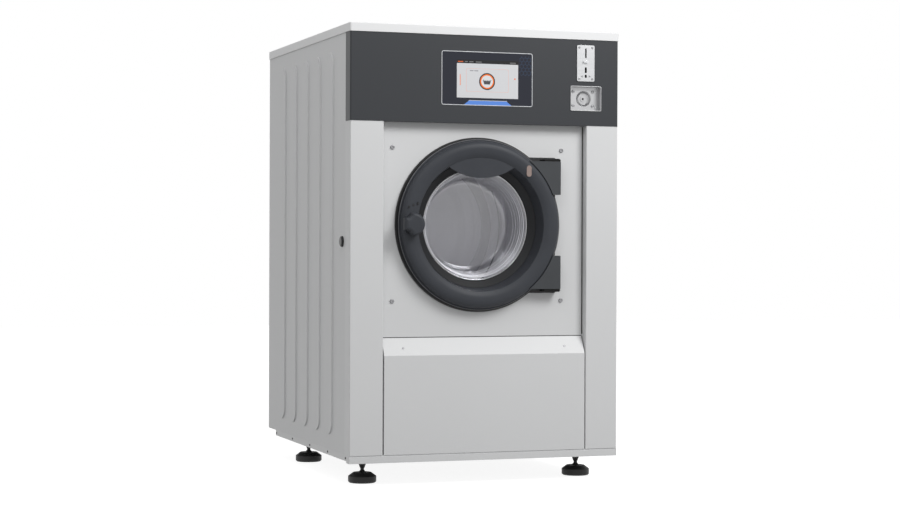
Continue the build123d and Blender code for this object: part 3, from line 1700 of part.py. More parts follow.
def save_fasteners():
    bright = [make_panel_bolt(x, z) for x, z in bolt_places]
    for x, z in plate_screw_places:
        bright.append(pan_screw(x, header_face_y - coin_plate_thickness, z))
    for side in (1, -1):
        bright.append(pan_screw(side * cover_screw_x, band_screw_y, band_screw_z, -band_tilt))
    save("front_screws", *bright)
    black = []
    for side in (1, -1):
        for y in side_screw_ys:
            turned = Pos(side * half_width, y, side_screw_z) * Rot(0, 0, 90 * side)
            black.append(turned * pan_screw(0, 0, 0))
    for x, z in access_screw_places:
        black.append(Pos(x, rear_y + sheet, z) * Rot(0, 0, 180) * pan_screw(0, 0, 0))
    save("black_screws", *black)


def save_front_units():
    save("screen_frame", make_screen_frame())
    save("touch_screen", make_touch_screen())
    save("coin_plate", make_coin_plate())
    save("coin_acceptor", make_coin_acceptor())
    save("coin_return_lever", make_coin_lever())
    save("coin_box_frame", make_coin_box_frame())
    save("coin_drawer", make_coin_drawer())
    save("coin_lock", make_coin_lock())


def save_door():
    solid_ring = spun(ring_envelope()) + spun(ring_flange())
    save("door_surround", make_door_surround())
    save("hinge_brackets", make_hinge_bracket(1), make_hinge_bracket(-1))
    save("hinge_pins", make_hinge_pin(1), make_hinge_pin(-1))
    save("door_lock", make_door_lock())
    save("door_ring", make_door_ring())
    save("door_back_ring", make_door_back_ring())
    save("door_trim_ring", make_door_trim_ring())
    save("door_glass", make_door_glass())
    save("door_visor", make_visor(solid_ring))
    save("door_indicator", make_door_indicator())
    save("hinge_arms", make_hinge_arm(1, solid_ring), make_hinge_arm(-1, solid_ring))
    save("door_knob", make_door_knob())
    save("latch_hook", make_latch_hook())


def save_services():
    save("control_box", make_control_box())
    save("inlet_valves", *[make_inlet_valve(x) for x in inlet_xs])
    save("fill_hose", make_fill_hose())
    save("mains_gland", make_mains_gland())
    save("drain_valve", make_drain_valve())
    save("drain_hose", make_drain_hose())
    places = [(x, y) for x in suspension_xs for y in suspension_ys]
    save("springs", *[make_spring(x, y) for x, y in places])
    save("damper_cylinders", *[make_damper_cylinder(x, y) for x, y in places])
    save("damper_rods", *[make_damper_rod(x, y) for x, y in places])


def save_tub():
    save("outer_tub", make_outer_tub())
    save("tub_back", make_tub_back())
    save("shaft_bearings", make_bearing(front_bearing_y), make_bearing(rear_bearing_y))
    save("tub_gasket", make_tub_gasket())
    save("motor_body", make_motor_body())
    save("motor_rotor", make_motor_rotor())
    save("drive_belt", make_drive_belt())


def save_drum():
    save("drum_shell", make_drum_shell())
    save("drum_lifters", *[make_lifter(index) for index in range(lifter_count)])
    save("drum_spider", make_drum_spider())
    save("drum_pulley", make_drum_pulley())


save_all()
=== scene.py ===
import math

import bmesh
import bpy
from mathutils import Matrix, Vector


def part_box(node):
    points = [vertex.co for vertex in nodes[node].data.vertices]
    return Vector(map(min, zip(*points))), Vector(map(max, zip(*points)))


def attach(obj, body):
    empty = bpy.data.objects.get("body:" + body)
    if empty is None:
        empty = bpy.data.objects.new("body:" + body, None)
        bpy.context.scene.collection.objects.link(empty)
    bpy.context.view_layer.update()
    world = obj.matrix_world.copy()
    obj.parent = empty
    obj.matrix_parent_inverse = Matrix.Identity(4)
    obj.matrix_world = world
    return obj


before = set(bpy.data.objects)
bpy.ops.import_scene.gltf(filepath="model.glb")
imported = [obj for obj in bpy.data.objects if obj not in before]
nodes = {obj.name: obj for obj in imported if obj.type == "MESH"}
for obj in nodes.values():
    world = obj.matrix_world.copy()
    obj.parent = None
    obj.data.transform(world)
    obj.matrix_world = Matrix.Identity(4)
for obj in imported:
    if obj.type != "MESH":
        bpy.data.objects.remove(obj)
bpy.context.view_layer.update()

# Base frame: a folded steel tray under the whole cabinet, with a deeper rail and a shadow groove
# across the front. It is powder coated in the same pale grey as the panels.


class Wire:
    """An output of a shader node that takes part in sums: its operators add Math nodes."""

    def __init__(self, shader, socket):
        self.shader = shader
        self.socket = socket

    def joined(self, operation, first, second):
        return self.shader.node("Math", {"operation": operation}, {0: first, 1: second})

    def __add__(self, other):
        return self.joined("ADD", self, other)

    def __radd__(self, other):
        return self.joined("ADD", other, self)

    def __sub__(self, other):
        return self.joined("SUBTRACT", self, other)

    def __rsub__(self, other):
        return self.joined("SUBTRACT", other, self)

    def __mul__(self, other):
        return self.joined("MULTIPLY", self, other)

    def __rmul__(self, other):
        return self.joined("MULTIPLY", other, self)

    def __lt__(self, other):
        return self.joined("LESS_THAN", self, other)

    def __gt__(self, other):
        return self.joined("GREATER_THAN", self, other)

    def __abs__(self):
        return self.joined("ABSOLUTE", self, 0.0)

    def __or__(self, other):
        return self.joined("MAXIMUM", self, other)

    def __and__(self, other):
        return self.joined("MINIMUM", self, other)

    def __mod__(self, other):
        return self.joined("FLOORED_MODULO", self, other)


class Shader:
    """The node tree of a material or of the world, built from its first node to its output."""

    def __init__(self, owner):
        owner.use_nodes = True
        self.owner = owner
        self.tree = owner.node_tree
        self.tree.nodes.clear()

    def node(self, kind, settings=None, inputs=None, output=0):
        made = self.tree.nodes.new("ShaderNode" + kind)
        for key, value in (settings or {}).items():
            setattr(made, key, value)
        for key, value in (inputs or {}).items():
            if isinstance(value, Wire):
                self.tree.links.new(value.socket, made.inputs[key])
            else:
                made.inputs[key].default_value = value
        return Wire(self, made.outputs[output]) if made.outputs else None

    def place(self):
        return self.node("TexCoord", output="Object")

    def stretched(self, shares):
        return self.node("VectorMath", {"operation": "MULTIPLY"}, {0: self.place(), 1: shares})

    def axes(self, vector):
        return [self.node("SeparateXYZ", inputs={0: vector}, output=i) for i in range(3)]

    def noise(self, scale, detail=2.0, vector=None):
        return self.node("TexNoise", inputs={
            "Vector": vector or self.place(), "Scale": scale, "Detail": detail}, output="Fac")

    def blended(self, share, first, second):
        return self.node("Mix", {"data_type": "RGBA"}, {0: share, 6: first, 7: second}, 2)

    def eased_edges(self, radius):
        return self.node("Bevel", {"samples": 4}, {"Radius": radius})

    def bumped(self, height, distance, normal):
        return self.node("Bump", inputs={
            "Height": height, "Distance": distance, "Normal": normal, "Strength": 1.0})

    def close(self, inputs):
        surface = self.node("BsdfPrincipled", inputs=inputs)
        self.node("OutputMaterial", inputs={"Surface": surface})
        return self.owner


def rgb(red, green, blue):
    return (red, green, blue, 1.0)


def toned(colour, share, lift=0.0):
    """The same hue, darker or lighter."""
    return tuple(min(1.0, share * part + lift) for part in colour[:3]) + (1.0,)


def new_finish(name):
    return Shader(bpy.data.materials.new(name))


def powder_coat(name, colour, roughness, speck=0.00006):
    """Sprayed powder, baked: even colour, a fine orange peel and softly rounded folds."""
    cloud_scale, peel_scale = 2.2, 1400.0
    fold_radius = 0.0009
    unevenness = 0.08
    shader = new_finish(name)
    clouds = shader.noise(cloud_scale, 3.0)
    grain = shader.noise(peel_scale, 1.0)
    tint = shader.blended(clouds, toned(colour, 0.95), colour)
    return shader.close({
        "Base Color": tint, "Specular IOR Level": 0.4,
        "Roughness": clouds * unevenness + (roughness - 0.5 * unevenness),
        "Normal": shader.bumped(grain, speck, shader.eased_edges(fold_radius))})


def dress(finish, *names):
    for name in names:
        for slot in nodes[name].material_slots:
            slot.material = finish


panel_coat = powder_coat("panel_coat", rgb(0.68, 0.685, 0.69), roughness=0.42)
dress(panel_coat, "base_frame")


# Levelling feet: a moulded rubber pad on a threaded steel stem, held by a nut under the tray. The
# pads are black with a faint bloom, and the nuts are blackened steel.
def moulded(name, colour, roughness, texture, depth, sheen=0.0, shine=0.4):
    """Plastic or rubber as it leaves a mould: fine leather-like spark texture, slight bloom."""
    bloom_scale = 14.0
    edge_radius = 0.0007
    unevenness = 0.1
    shader = new_finish(name)
    clouds = shader.noise(bloom_scale, 3.0)
    spark = shader.noise(texture, 2.0)
    tint = shader.blended(clouds, colour, toned(colour, 1.25, 0.003))
    return shader.close({
        "Base Color": tint, "Sheen Weight": sheen, "Specular IOR Level": shine,
        "Roughness": clouds * unevenness + (roughness - 0.5 * unevenness),
        "Normal": shader.bumped(spark, depth, shader.eased_edges(edge_radius))})


foot_rubber = moulded(
    "foot_rubber", rgb(0.008, 0.008, 0.008), roughness=0.5, texture=900.0, depth=0.00008,
    sheen=0.05)
dress(foot_rubber, "foot_front_left", "foot_front_right", "foot_rear_left", "foot_rear_right")
black_steel = powder_coat("black_steel", rgb(0.012, 0.012, 0.013), roughness=0.38, speck=0.00003)
dress(black_steel, "foot_lock_nuts", "black_screws")


def piece(name, built, finish, body):
    """Make one smooth object from a finished bmesh and let it ride on a body."""
    bmesh.ops.recalc_face_normals(built, faces=built.faces)
    mesh = bpy.data.meshes.new(name)
    built.to_mesh(mesh)
    built.free()
    for face in mesh.polygons:
        face.use_smooth = True
    mesh.materials.append(finish)
    made = bpy.data.objects.new(name, mesh)
    bpy.context.scene.collection.objects.link(made)
    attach(made, body)
    return made


def run_round(built, outline, origin, axis, segments=96):
    """Run a closed outline of (radius, distance) pairs round an axis."""
    up = Vector((0.0, 0.0, 1.0)) if axis == "y" else Vector((0.0, 1.0, 0.0))
    along = Vector((0.0, 1.0, 0.0)) if axis == "y" else Vector((0.0, 0.0, 1.0))
    spokes = []
    for step in range(segments):
        angle = 2.0 * math.pi * step / segments
        spoke = Vector((math.cos(angle), 0.0, 0.0)) + up * math.sin(angle)
        spokes.append([
            built.verts.new(Vector(origin) + spoke * radius + along * distance)
            for radius, distance in outline])
    for first, second in zip(spokes, spokes[1:] + spokes[:1]):
        for index in range(len(outline)):
            before = index - 1
            built.faces.new((first[before], first[index], second[index], second[before]))


def bead(radius, distance, thickness, corners=10):
    """The outline of a round bead of rubber or wire."""
    angles = [2.0 * math.pi * corner / corners for corner in range(corners)]
    return [
        (radius + thickness * math.cos(angle), distance + thickness * math.sin(angle))
        for angle in angles]


def thread_outline(core, crest, start, end, pitch):
    """Thread ridges seen in section, from one end of a stem to the other."""
    crest_start, crest_end = 0.45, 0.55
    buried = 0.0006
    count = int((end - start) / pitch)
    last = start + count * pitch
    outline = []
    for index in range(count):
        base = start + index * pitch
        outline += [
            (core, base), (crest, base + crest_start * pitch), (crest, base + crest_end * pitch)]
    return outline + [(core, last), (core - buried, last), (core - buried, start)]


foot_x = 0.374
front_foot_y, rear_foot_y = -0.385, 0.285
stem_core, stem_crest = 0.0059, 0.0064
stem_start, stem_end = 0.042, 0.118
stem_pitch = 0.00175
stem_facets = 24
for x, y, body in (
        (-foot_x, front_foot_y, "front_left_foot"), (foot_x, front_foot_y, "front_right_foot"),
        (-foot_x, rear_foot_y, "rear_left_foot"), (foot_x, rear_foot_y, "rear_right_foot")):
    built = bmesh.new()
    stem = thread_outline(stem_core, stem_crest, stem_start, stem_end, stem_pitch)
    run_round(built, stem, (x, y, 0.0), "z", stem_facets)
    piece(body + "_thread", built, black_steel, body)

# Cabinet sheets: folded steel posts at the front corners, side panels with five pressed ribs, and
# the lid. All are powder coated, the lid a shade lighter.
side_coat = powder_coat("side_coat", rgb(0.66, 0.665, 0.67), roughness=0.45)
lid_coat = powder_coat("lid_coat", rgb(0.78, 0.785, 0.79), roughness=0.4)
dress(panel_coat, "left_front_post", "right_front_post", "door_panel", "lower_cover")
dress(side_coat, "left_side_panel", "right_side_panel")
dress(lid_coat, "top_cover")


# Rear panel and its access cover: zinc coated sheet, left unpainted, with the large soft crystals
# that hot dipping leaves. Two groups of louvres are pressed into it, each under a small hood.
def zinc_sheet(name, colour):
    crystal_scale, grain_scale = 45.0, 600.0
    crystal_contrast, brightest = 0.18, 0.32
    grain_depth = 0.00004
    fold_radius = 0.0007
    shader = new_finish(name)
    crystals = shader.node("TexVoronoi", {"feature": "F1"}, {
        "Vector": shader.place(), "Scale": crystal_scale}, "Color")
    level = shader.axes(crystals)[0]
    grain = shader.noise(grain_scale, 2.0)
    return shader.close({
        "Base Color": shader.blended(level, toned(colour, 0.75), colour),
        "Roughness": level * crystal_contrast + brightest, "Metallic": 0.85,
        "Normal": shader.bumped(grain, grain_depth, shader.eased_edges(fold_radius))})


def run_strip(built, rows, closed):
    """Join rows of points to a strip of sheet, or, closed, to a bar with both its ends shut."""
    made = [[built.verts.new(point) for point in row] for row in rows]
    for first, second in zip(made, made[1:]):
        for index in range(0 if closed else 1, len(first)):
            built.faces.new((first[index - 1], first[index], second[index], second[index - 1]))
    if closed:
        built.faces.new(made[0])
        built.faces.new(made[-1][::-1])


zinc = zinc_sheet("zinc_sheet", rgb(0.55, 0.56, 0.57))
dress(zinc, "rear_panel", "rear_access_cover")
louvre_rows = 7
louvre_x = 0.3
louvre_low, louvre_spacing = 0.214, 0.026
hood_half, hood_end = 0.062, 0.010
hood_base_y, hood_reach = 0.5302, 0.0065
hood_rise, hood_height = 0.0075, 0.0135
hood_steps = 40
hood_shares = (0.0, 0.15, 0.3, 0.5, 0.7, 0.85, 1.0)
hood_sheet = 0.001
for side, side_name in ((-1, "left"), (1, "right")):
    for row in range(louvre_rows):
        top = louvre_low + louvre_spacing * row + hood_rise
        hood_rows = []
        for step in range(hood_steps + 1):
            x = hood_half * (2.0 * step / hood_steps - 1.0)
            past = max(0.0, abs(x) - (hood_half - hood_end)) / hood_end
            swell = hood_reach * math.sqrt(max(0.0, 1.0 - past * past))
            hood_rows.append([
                (side * louvre_x + x, hood_base_y + swell * math.sin(0.5 * math.pi * share),
                 top - hood_height * share)
                for share in hood_shares])
        built = bmesh.new()
        run_strip(built, hood_rows, False)
        hood = piece(f"louvre_hood_{side_name}_{row + 1}", built, zinc, "cabinet")
        hood.modifiers.new("sheet", "SOLIDIFY").thickness = hood_sheet

# Header: the dark panel across the top of the front, which carries the screen and the coin unit.
# Its coat is a satin blue grey.
header_coat = powder_coat("header_coat", rgb(0.021, 0.0235, 0.028), roughness=0.44)
dress(header_coat, "header_panel")


# Touch screen: a thin bright frame round one sheet of dark glass, with the display behind it. The
# lit page is plain: a status bar, a white page with a round wash symbol, and a blue tab below.
def metal(name, colour, roughness, along, lines=0.00002, spread=0.1):
    """Worked metal: fine brush lines that run along one axis."""
    line_scale, cross_scale, cloud_scale = 12.0, 900.0, 6.0
    handling = 0.08
    edge_radius = 0.0006
    shader = new_finish(name)
    shares = tuple(line_scale if axis == along else cross_scale for axis in "xyz")
    brushed = shader.noise(1.0, 3.0, shader.stretched(shares))
    clouds = shader.noise(cloud_scale, 2.0)
    evenly = roughness - 0.5 * (spread + handling)
    return shader.close({
        "Base Color": shader.blended(brushed, toned(colour, 0.86), colour), "Metallic": 1.0,
        "Roughness": brushed * spread + clouds * handling + evenly,
        "Normal": shader.bumped(brushed, lines, shader.eased_edges(edge_radius))})


bright_trim = metal("bright_trim", rgb(0.5, 0.51, 0.53), roughness=0.42, along="x", lines=0.000005)
dress(bright_trim, "screen_frame")


def display(name):
    shader = new_finish(name)
    across, _, up = shader.axes(shader.place())

    def panel(x, z, half_width, half_height, corner=0.0):
        """1 inside a rounded rectangle on the screen, else 0."""
        side = (abs(across - x) - (half_width - corner)) | 0.0
        rise = (abs(up - z) - (half_height - corner)) | 0.0
        return side * side + rise * rise < corner * corner + 1e-9

    def disc(x, z, radius):
        return (across - x) * (across - x) + (up - z) * (up - z) < radius * radius

    cell_wide = 0.0125
    cell_tall = cell_wide * math.sqrt(3.0)
    cell_reach = 0.00585

    def hexagon_reach(shift):
        """How far a point lies from the middle of its cell in one of two woven cell grids."""
        along = abs((across - shift * cell_wide) % cell_wide - 0.5 * cell_wide)
        rise = abs((up - shift * cell_tall) % cell_tall - 0.5 * cell_tall)
        return (along * 0.5 + rise * math.sin(math.radians(60.0))) | along

    # The dark glass, with faint hexagon outlines in its upper right corner.
    shade = rgb(0.014, 0.016, 0.027)
    corner_patch = panel(0.133, 1.355, 0.022, 0.032, 0.012)
    cells = ((hexagon_reach(0.0) & hexagon_reach(0.5)) > cell_reach) * corner_patch
    shade = shader.blended(cells * 0.6, shade, rgb(0.05, 0.1, 0.2))

    # The status bar, with an orange sign and four grey ones.
    bar_z = 1.3625
    sign_half = 0.0014
    page_x, page_half = 0.001, 0.1055
    shade = shader.blended(panel(page_x, bar_z, page_half, 0.0065), shade, rgb(0.012, 0.011, 0.012))
    signs = 0.0
    for x, half_width in ((-0.072, 0.005), (-0.055, 0.007), (-0.03, 0.01), (0.088, 0.01)):
        signs = panel(x, bar_z, half_width, sign_half) | signs
    shade = shader.blended(signs * 0.6, shade, rgb(0.3, 0.3, 0.3))
    shade = shader.blended(panel(-0.092, bar_z, 0.009, 0.0015), shade, rgb(0.7, 0.14, 0.04))

    # The pale page, with a thin pink outline round its middle.
    page = panel(page_x, 1.302, page_half, 0.0555)
    shade = shader.blended(page, shade, rgb(0.56, 0.565, 0.58))
    outline_x, outline_z, line_width = 0.0005, 1.304, 0.0006
    outer_half, outer_rise, corner = 0.0727, 0.0372, 0.004
    inner_half, inner_rise = outer_half - line_width, outer_rise - line_width
    outline = panel(outline_x, outline_z, outer_half, outer_rise, corner)
    outline -= panel(outline_x, outline_z, inner_half, inner_rise, corner)
    shade = shader.blended(outline, shade, rgb(0.75, 0.33, 0.25))

    # The round wash sign: a dark rim, an orange ring and a tub with wavy water on a pale ground.
    wash_x, wash_z = -0.001, 1.3003
    for radius, colour in (
            (0.0275, rgb(0.03, 0.03, 0.032)), (0.0237, rgb(0.8, 0.16, 0.02)),
            (0.0198, rgb(0.62, 0.63, 0.64))):
        shade = shader.blended(disc(wash_x, wash_z, radius), shade, colour)
    tub_half, tub_sheet, tub_lean = 0.0125, 0.002, 0.35
    tub_floor, tub_middle, tub_rim = 1.291, 1.3, 1.306
    tub_wall = abs(across - wash_x) - (up - tub_middle) * tub_lean
    tub_sign = (tub_wall < tub_half) * (up < tub_rim) * (up > tub_floor)
    tub_room = (tub_wall < tub_half - tub_sheet) * (up > tub_floor + tub_sheet)
    wave_length, wave_slope, water_level = 0.006, 0.8, 1.3015
    waves = abs((across % wave_length) - 0.5 * wave_length) * wave_slope + water_level
    shade = shader.blended(tub_sign, shade, rgb(0.06, 0.06, 0.065))
    shade = shader.blended(tub_sign * tub_room * (up > waves), shade, rgb(0.5, 0.51, 0.52))

    # The blue tab under the page, with its bright upper edge.
    tab_x, tab_z, tab_half, tab_lean = 0.002, 1.2205, 0.087, 1.35
    tab_bottom, tab_top = 1.2215, 1.2373
    edge_half, edge_z, edge_rise = 0.09, 1.2381, 0.0009
    slope = abs(across - tab_x) + (up - tab_z) * tab_lean
    tab = (slope < tab_half) * (up < tab_top) * (up > tab_bottom)
    shade = shader.blended(tab, shade, rgb(0.09, 0.22, 0.62))
    tab_edge = (slope < edge_half) * (abs(up - edge_z) < edge_rise)
    shade = shader.blended(tab_edge, shade, rgb(0.5, 0.52, 0.55))

    # Small orange marks at the page's sides, and two dashes where a heading would be.
    side_marks = panel(-0.093, 1.304, 0.0012, 0.018, 0.001)
    side_marks = side_marks | panel(0.095, 1.311, 0.0025, 0.0025, 0.001)
    shade = shader.blended(side_marks, shade, rgb(0.75, 0.2, 0.08))
    dashes = panel(-0.054, 1.334, 0.006, 0.0012) | panel(-0.038, 1.334, 0.007, 0.0012)
    shade = shader.blended(dashes, shade, rgb(0.2, 0.2, 0.22))
    glow = shader.blended(page | tab, rgb(0.0, 0.0, 0.0), shade)
    return shader.close({
        "Base Color": shade, "Roughness": shader.noise(8.0) * 0.04 + 0.12,
        "Emission Color": glow, "Emission Strength": 0.15,
        "Normal": shader.eased_edges(0.0006), "Specular IOR Level": 0.35})


dress(display("display_glass"), "touch_screen")

# Coin plate: a brushed stainless plate with the coin slot, the reject lever and the return slot,
# screwed over the moulded coin acceptor. Two small grey arrows point at the return slot.
plate_steel = metal(
    "plate_steel", rgb(0.53, 0.535, 0.545), roughness=0.36, along="x", lines=0.00001)
screw_steel = metal("screw_steel", rgb(0.3, 0.3, 0.31), roughness=0.42, along="z", lines=0.00001)
polished = metal(
    "polished_steel", rgb(0.8, 0.81, 0.83), roughness=0.16, along="z", lines=0.000005, spread=0.05)
dress(plate_steel, "coin_plate")
dress(polished, "coin_return_lever")
dress(screw_steel, "front_screws")
dark_moulding = moulded(
    "dark_moulding", rgb(0.012, 0.012, 0.013), roughness=0.45, texture=1000.0, depth=0.00005)
dress(dark_moulding, "coin_acceptor")
mark_grey = moulded("mark_grey", rgb(0.22, 0.22, 0.23), roughness=0.5, texture=900.0, depth=0.00002)


def plate(built, corners, front_y, rear_y):
    """A flat plate that faces the front, from the corners of its outline in x and z."""
    front = [built.verts.new((x, front_y, z)) for x, z in corners]
    rear = [built.verts.new((x, rear_y, z)) for x, z in corners]
    built.faces.new(front)
    built.faces.new(rear[::-1])
    for index in range(len(corners)):
        built.faces.new((front[index - 1], front[index], rear[index], rear[index - 1]))


arrow_z = 1.3275
arrow_places = ((0.331, -1), (0.357, 1))
arrow_front_y, arrow_rear_y = -0.5342, -0.5337
arrow_tip, arrow_tail, arrow_notch, arrow_half = 0.005, -0.003, -0.001, 0.004
for index, (x, side) in enumerate(arrow_places):
    built = bmesh.new()
    plate(built, (
        (x + side * arrow_tip, arrow_z), (x + side * arrow_tail, arrow_z + arrow_half),
        (x + side * arrow_notch, arrow_z), (x + side * arrow_tail, arrow_z - arrow_half)),
        arrow_front_y, arrow_rear_y)
    piece(f"return_mark_{index + 1}", built, mark_grey, "cabinet")

# Control box and water valves: housings moulded in grey plastic. The three inlet stubs behind the
# machine have turned threads, each with a coloured ring at its root that tells hot from cold.
box_plastic = moulded(
    "box_plastic", rgb(0.3, 0.31, 0.32), roughness=0.5, texture=900.0, depth=0.00006)
dress(box_plastic, "control_box", "inlet_valves", "drain_valve")
hot_red = rgb(0.45, 0.02, 0.02)
cold_blue = rgb(0.02, 0.06, 0.4)
inlet_z = 1.25
inlets = ((0.18, hot_red), (0.25, cold_blue), (0.32, cold_blue))
inlet_core, inlet_crest = 0.0131, 0.0138
inlet_start, inlet_end, inlet_pitch = 0.536, 0.559, 0.0018
inlet_facets = 40
root_ring = [
    (0.0128, 0.5302), (0.0175, 0.5302), (0.0180, 0.5308), (0.0180, 0.5324), (0.0175, 0.5330),
    (0.0128, 0.5330)]
for index, (x, colour) in enumerate(inlets):
    inlet = (x, 0.0, inlet_z)
    stub = thread_outline(inlet_core, inlet_crest, inlet_start, inlet_end, inlet_pitch)
    built = bmesh.new()
    run_round(built, stub, inlet, "y", inlet_facets)
    piece(f"inlet_thread_{index + 1}", built, box_plastic, "cabinet")
    ring = moulded(f"inlet_ring_{index + 1}", colour, roughness=0.4, texture=900.0, depth=0.00003)
    built = bmesh.new()
    run_round(built, root_ring, inlet, "y", inlet_facets)
    piece(f"inlet_ring_{index + 1}", built, ring, "cabinet")

# Coin drawer: a heavy stainless drawer in a stainless sleeve, set back in the header, with a lock
# in the middle of a dished cup. A dark ring at the cup's edge and a dark disc in the key slot are
# painted shade.
drawer_steel = metal(
    "drawer_steel", rgb(0.48, 0.482, 0.49), roughness=0.34, along="x", lines=0.00001)
dress(drawer_steel, "coin_box_frame", "coin_drawer", "coin_lock")
lock_x, lock_z = 0.3455, 1.255
lock_front_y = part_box("coin_lock")[0][1]
drawer_face_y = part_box("coin_drawer")[0][1]
slot_radius, slot_front, slot_rear, slot_inset = 0.0036, -0.0012, 0.0006, 0.0009
pin_point = 0.0002
small_facets, cup_facets = 32, 64
slot_outline = [
    (pin_point, slot_front), (slot_radius, slot_front), (slot_radius, slot_rear),
    (pin_point, slot_rear)]
slot_place = (lock_x, lock_front_y + slot_inset, lock_z)
# A dark disc in the key slot: painted shade in the hole.
built = bmesh.new()
run_round(built, slot_outline, slot_place, "y", small_facets)
piece("key_slot_shade", built, dark_moulding, "drawer_lock")
# A dark ring round the cup's edge: painted shade of the cup's inner wall.
cup_shade_dark = moulded("cup_shade_dark", rgb(0.05, 0.05, 0.055), roughness=0.5, texture=900.0, depth=0.00002)
cup_radius, cup_edge, cup_inset = 0.0206, 0.0007, 0.0002
cup_place = (lock_x, drawer_face_y + cup_inset, lock_z)
built = bmesh.new()
run_round(built, bead(cup_radius, 0.0, cup_edge), cup_place, "y", cup_facets)
piece("cup_rim_shade", built, cup_shade_dark, "drawer")

# Drawer rivets: four domed steel heads that hold the drawer's face to its box, each in the small
# ring that the rivet set leaves.
rivet_steel = metal("rivet_steel", rgb(0.34, 0.34, 0.35), roughness=0.34, along="x", lines=0.00001)
rivet_head = [
    (pin_point, -0.0016), (0.0020, -0.0013), (0.0034, -0.0006), (0.0038, 0.0002),
    (0.0044, 0.0001), (0.0047, -0.0004), (0.0052, -0.0003), (0.0054, 0.0004),
    (pin_point, 0.0005)]
rivets_x, rivet_half_width, rivet_half_height = 0.343, 0.035, 0.0235
for index, (side, rise) in enumerate(((-1, 1), (1, 1), (-1, -1), (1, -1))):
    place = (rivets_x + side * rivet_half_width, drawer_face_y, lock_z + rise * rivet_half_height)
    built = bmesh.new()
    run_round(built, rivet_head, place, "y", small_facets)
    piece(f"drawer_rivet_{index + 1}", built, rivet_steel, "drawer")

# Door surround and lock: the black moulded collar behind the door, the black hinge brackets bolted
# to it with their pins, the lock box on the left, and the plated steel hook that it catches.
black_plastic = moulded(
    "black_plastic", rgb(0.012, 0.012, 0.013), roughness=0.45, texture=1000.0, depth=0.00005)
dress(black_plastic, "door_surround", "door_lock", "mains_gland")
bracket_steel = metal(
    "bracket_steel", rgb(0.6, 0.61, 0.62), roughness=0.32, along="z", lines=0.00002)
dress(bracket_steel, "latch_hook")
lug_black = moulded(
    "lug_black", rgb(0.004, 0.004, 0.004), roughness=0.5, texture=900.0, depth=0.00002, shine=0.15)
dress(lug_black, "hinge_brackets", "hinge_pins")

# Door: a moulded ring in satin charcoal over a black back shell, with a visor over the top of the
# window, two cast arms at the hinges, a knob that draws the latch hook, and a small indicator.
ring_plastic = moulded(
    "ring_plastic", rgb(0.036, 0.039, 0.046), roughness=0.46, texture=1200.0, depth=0.00004,
    shine=0.2)
arm_paint = moulded(
    "arm_paint", rgb(0.03, 0.033, 0.037), roughness=0.42, texture=1200.0, depth=0.00005)
trim_black = moulded(
    "trim_black", rgb(0.014, 0.0145, 0.016), roughness=0.5, texture=1200.0, depth=0.00002,
    shine=0.18)
pill = moulded("pill_plastic", rgb(0.25, 0.19, 0.17), roughness=0.32, texture=1200.0, depth=0.00001)
dress(ring_plastic, "door_ring", "door_visor", "door_knob")
dress(arm_paint, "hinge_arms")
dress(black_plastic, "door_back_ring")
dress(trim_black, "door_trim_ring")
dress(pill, "door_indicator")

# Release button: a round glossy black button in the left side panel, moulded in one piece with its
# stem. It pulls out and springs back.
gloss_black = moulded(
    "gloss_black", rgb(0.004, 0.004, 0.005), roughness=0.3, texture=1200.0, depth=0.00001,
    shine=0.25)
dress(gloss_black, "release_plug")


# Window: a pressed glass bowl with a cool, slightly hazy body, its rim held in the trim ring. Its
# colour runs from grey at the bottom to near white at the top: painted light on the upper glass.
def window_glass(name):
    painted_light_start, painted_light_rate = 0.68, 3.0
    wave_scale, wave_depth = 9.0, 0.0004
    edge_radius = 0.001
    shader = new_finish(name)
    waves = shader.noise(wave_scale, 1.0)
    up = shader.axes(shader.place())[2]
    # The colour grows lighter towards the top: painted light on the upper glass.
    share = (up - painted_light_start) * painted_light_rate + waves * 0.1
    return shader.close({
        "Base Color": shader.blended(share, rgb(0.5, 0.5, 0.54), rgb(0.97, 0.97, 1.0)),
        "Roughness": waves * 0.04 + 0.06, "Metallic": 0.38,
        "Transmission Weight": 0.5, "IOR": 1.45, "Alpha": 0.3,
        "Normal": shader.bumped(waves, wave_depth, shader.eased_edges(edge_radius))})


dress(window_glass("window_glass"), "door_glass")

# Tub and drum: a stainless drum with pressed lifters and rows of holes, in a stainless tub. The
# drum's back is spun: satin in the middle, a slope painted dark as shade, a brighter edge and a
# dark seam. The drum's near-white, mostly diffuse tint is painted light inside it.
door_axis = (-0.02, 0.0, 0.837)
middle_radius, slope_radius = 0.226, 0.268
seam_inner, seam_outer = 0.299, 0.304


def spun_steel(name):
    line_scale, cross_scale, line_depth = 12.0, 900.0, 0.00001
    slope_shade_cover, seam_cover = 0.9, 0.95
    edge_radius = 0.0006
    shader = new_finish(name)
    across, _, up = shader.axes(shader.place())
    side = across - door_axis[0]
    rise = up - door_axis[2]
    reach = side * side + rise * rise
    brushed = shader.noise(1.0, 3.0, shader.stretched((cross_scale, line_scale, cross_scale)))
    middle = reach < middle_radius ** 2
    slope = (reach < slope_radius ** 2) - middle
    seam = (reach > seam_inner ** 2) * (reach < seam_outer ** 2)
    # Near white with little metal: painted light that brightens the drum behind the glass.
    tint = shader.blended(brushed, rgb(0.86, 0.86, 0.92), rgb(0.96, 0.96, 1.0))
    # The slope ring is painted dark: painted shade where the slope turns from the light.
    tint = shader.blended(slope * slope_shade_cover, tint, rgb(0.2, 0.2, 0.23))
    tint = shader.blended(seam * seam_cover, tint, rgb(0.01, 0.01, 0.01))
    return shader.close({
        "Base Color": tint, "Metallic": 0.3 - middle * 0.25,
        "Roughness": brushed * 0.1 + middle * 0.1 + 0.28,
        "Normal": shader.bumped(brushed, line_depth, shader.eased_edges(edge_radius))})


drum_steel = spun_steel("drum_steel")
tub_steel = metal("tub_steel", rgb(0.6, 0.61, 0.62), roughness=0.4, along="y", lines=0.00002)
dress(drum_steel, "drum_shell", "drum_lifters")
dress(tub_steel, "outer_tub")

